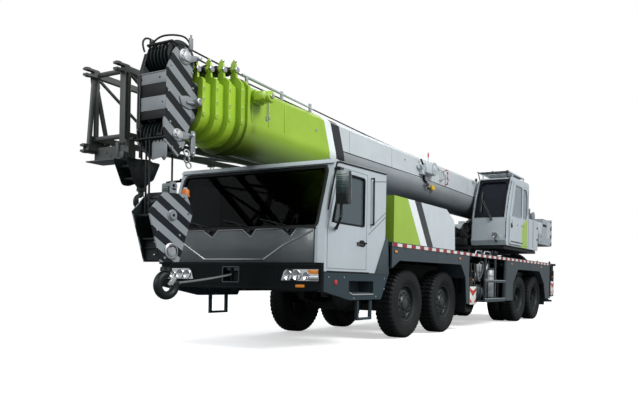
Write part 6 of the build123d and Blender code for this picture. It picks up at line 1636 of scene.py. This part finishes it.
for place in range(6):
    y = 0.24 + place * 0.028
    hoses.append([(-2.35, y, 1.79), (-2.28, y + 0.02, 2.0 + place * 0.02),
                  (-2.1, y + 0.05, 2.12 - place * 0.03), (-1.98, y + 0.03, 1.98), (-2.05, y + 0.01, 1.84)])
    hoses.append([(-2.6, y - 0.05, 2.10), (-2.35, y + 0.03, 2.34 + place * 0.015),
                  (-2.12, y, 2.30 - place * 0.04), (-1.92, y + 0.02, 2.05), (-1.97, y, 1.86)])
addWire("swivelHoses", hoses, 0.012, "turntable", "trim", kind="NURBS")
bm = bmesh.new()
addBox(bm, (-2.06, -0.1, 1.78), (-1.88, 0.40, 1.93), bevel=0.012)
for place in range(6):
    addBar(bm, (-1.97, 0.0 + place * 0.07, 1.93), (-1.97, 0.0 + place * 0.07, 1.975), 0.018, sides=6, paint=1)
addBox(bm, (-2.5, -0.72, 1.78), (-1.92, -0.48, 2.12), bevel=0.02)
addBox(bm, (-3.9, -0.73, 1.78), (-2.9, -0.47, 2.02), bevel=0.02)
addBox(bm, (-4.6, -0.73, 1.78), (-4.05, -0.47, 2.32), bevel=0.02, paint=2)
addBar(bm, (-4.33, -0.6, 2.32), (-4.33, -0.6, 2.36), 0.06, sides=24, paint=1, bevel=0.005)
asPiece("valveBank", bm, "turntable", "frame_black", "black", "steel", "grey")
# small winch behind the operator's cab
bm = bmesh.new()
addBar(bm, (-4.72, 0.98, 2.70), (-4.72, 1.14, 2.70), 0.09, sides=32, bevel=0.008)
addBar(bm, (-4.72, 0.94, 2.70), (-4.72, 0.98, 2.70), 0.12, sides=32, bevel=0.006)
addBar(bm, (-4.72, 1.14, 2.70), (-4.72, 1.18, 2.70), 0.12, sides=32, bevel=0.006)
addBox(bm, (-4.80, 0.93, 2.545), (-4.64, 1.19, 2.60), bevel=0.006, paint=1)
addBox(bm, (-4.68, 1.0, 2.78), (-4.60, 1.1, 2.90), bevel=0.01)
addBar(bm, (-4.62, 1.06, 2.75), (-4.42, 1.06, 2.60), 0.02, sides=12, bevel=0.003)
addBar(bm, (-4.70, 1.12, 2.66), (-4.90, 1.16, 2.46), 0.012, sides=8, paint=1)
asPiece("smallWinch", bm, "turntable", "head_grey", "headLight", "black")
print("turntable dressed")

# Luffing cylinder: gland, port blocks, pipe and bands
luffSize = {"foot": (-2.9, 0, 1.95), "eye": (0.3, 0, 2.38)}
luffRun = (Vector(luffSize["eye"]) - Vector(luffSize["foot"])).normalized()
luffUp = Vector((-luffRun.z, 0, luffRun.x))


def alongLuff(share, lift=0.0):
    return Vector(luffSize["foot"]) + luffRun * share + luffUp * lift


bm = bmesh.new()
for start, end, size in ((2.86, 2.99, 0.168), (0.19, 0.26, 0.165), (1.5, 1.54, 0.157)):
    addBar(bm, alongLuff(start), alongLuff(end), size, sides=40, bevel=0.006)
for share in (0.35, 2.8):
    addBox(bm, [a - 0.05 for a in alongLuff(share, 0.17)], [a + 0.05 for a in alongLuff(share, 0.17)],
           bevel=0.008)
addBar(bm, alongLuff(0.38, 0.18), alongLuff(2.78, 0.18), 0.016, sides=10, paint=1)
for turn in range(10):
    angle = turn * pi / 5
    up = luffUp * 0.145 * cos(angle) + Vector((0, 0.145 * sin(angle), 0))
    addBar(bm, alongLuff(2.985) + up, alongLuff(2.999) + up, 0.013, sides=6, paint=1)
asPiece("luffTrim", bm, "luff_barrel", "frame_black", "black", "steel")

# Counterweight: hazard bands, panel, lifting eyes; drums' rope turns
bm = bmesh.new()
for out in (1, -1):
    face = out * 1.25
    addBox(bm, (-6.30, face, 2.02), (-6.14, face + out * 0.0025, 2.69))
    addBox(bm, (-6.12, face, 2.20), (-5.80, face + out * 0.002, 2.66), paint=1)
addBox(bm, (-6.432, -1.12, 2.42), (-6.430, 1.12, 2.70))
asPiece("hazardBands", bm, "turntable", "trim", "hazard", "white")
bm = bmesh.new()
for out in (1, -1):
    face = out * 1.25
    addBox(bm, (-5.70, face - out * 0.004, 2.26), (-5.05, face + out * 0.003, 2.275), paint=0, bevel=0.001)
    addBox(bm, (-5.73, face - out * 0.012, 2.49), (-5.36, face + out * 0.002, 2.56), paint=1)
    addBox(bm, (-5.03, face - out * 0.3, 2.25), (-4.98, face - out * 0.01, 2.58), paint=0, bevel=0.006)
    addBox(bm, (-5.36, face - out * 0.045, 2.25), (-5.0, face - out * 0.008, 2.58), paint=0, bevel=0.006)
    for x in (-5.25, -6.2):
        addRing(bm, 0.032, 0.05, 0.01, (x, out * 0.98, 2.73 if x < -6 else 2.62), (0, 1, 0), 24, paint=2)
    for z in (2.06, 2.2):
        addBar(bm, (-5.2, face, z), (-5.2, face + out * 0.006, z), 0.02, sides=20, paint=1)
asPiece("counterweightTrim", bm, "turntable", "boom_grey", "grey", "trim", "steel")
bm = bmesh.new()
for x in (-5.38, -5.88):
    profile = []
    for turn in range(24):
        low = -0.31 + turn * 0.0258
        profile += [(0.190, low), (0.203, low + 0.008), (0.203, low + 0.0178), (0.190, low + 0.0258)]
    profile += [(0.185, 0.31), (0.185, -0.31)]
    addLathe(bm, profile, (x, 0, 2.51), (0, 1, 0), steps=40)
    for out in (1, -1):
        addLathe(bm, [(0.0, 0.0), (0.10, 0.0), (0.10, 0.05), (0.06, 0.08), (0.0, 0.08)],
                 (x, out * 0.40, 2.51), (0, out, 0), steps=28, closed=False, paint=1)
asPiece("drumRopes", bm, "turntable", "bare_steel", "rope", "cast")
runs = [[(-5.38, -0.07, 2.715), (-5.0, -0.07, 2.86), (-4.45, -0.07, 3.12), (-4.15, -0.07, 3.25)],
        [(-5.88, 0.07, 2.715), (-5.2, 0.07, 2.93), (-4.5, 0.07, 3.15), (-4.15, 0.07, 3.27)]]
addWire("winchRopes", runs, 0.011, "turntable", "rope")
print("counterweight dressed")
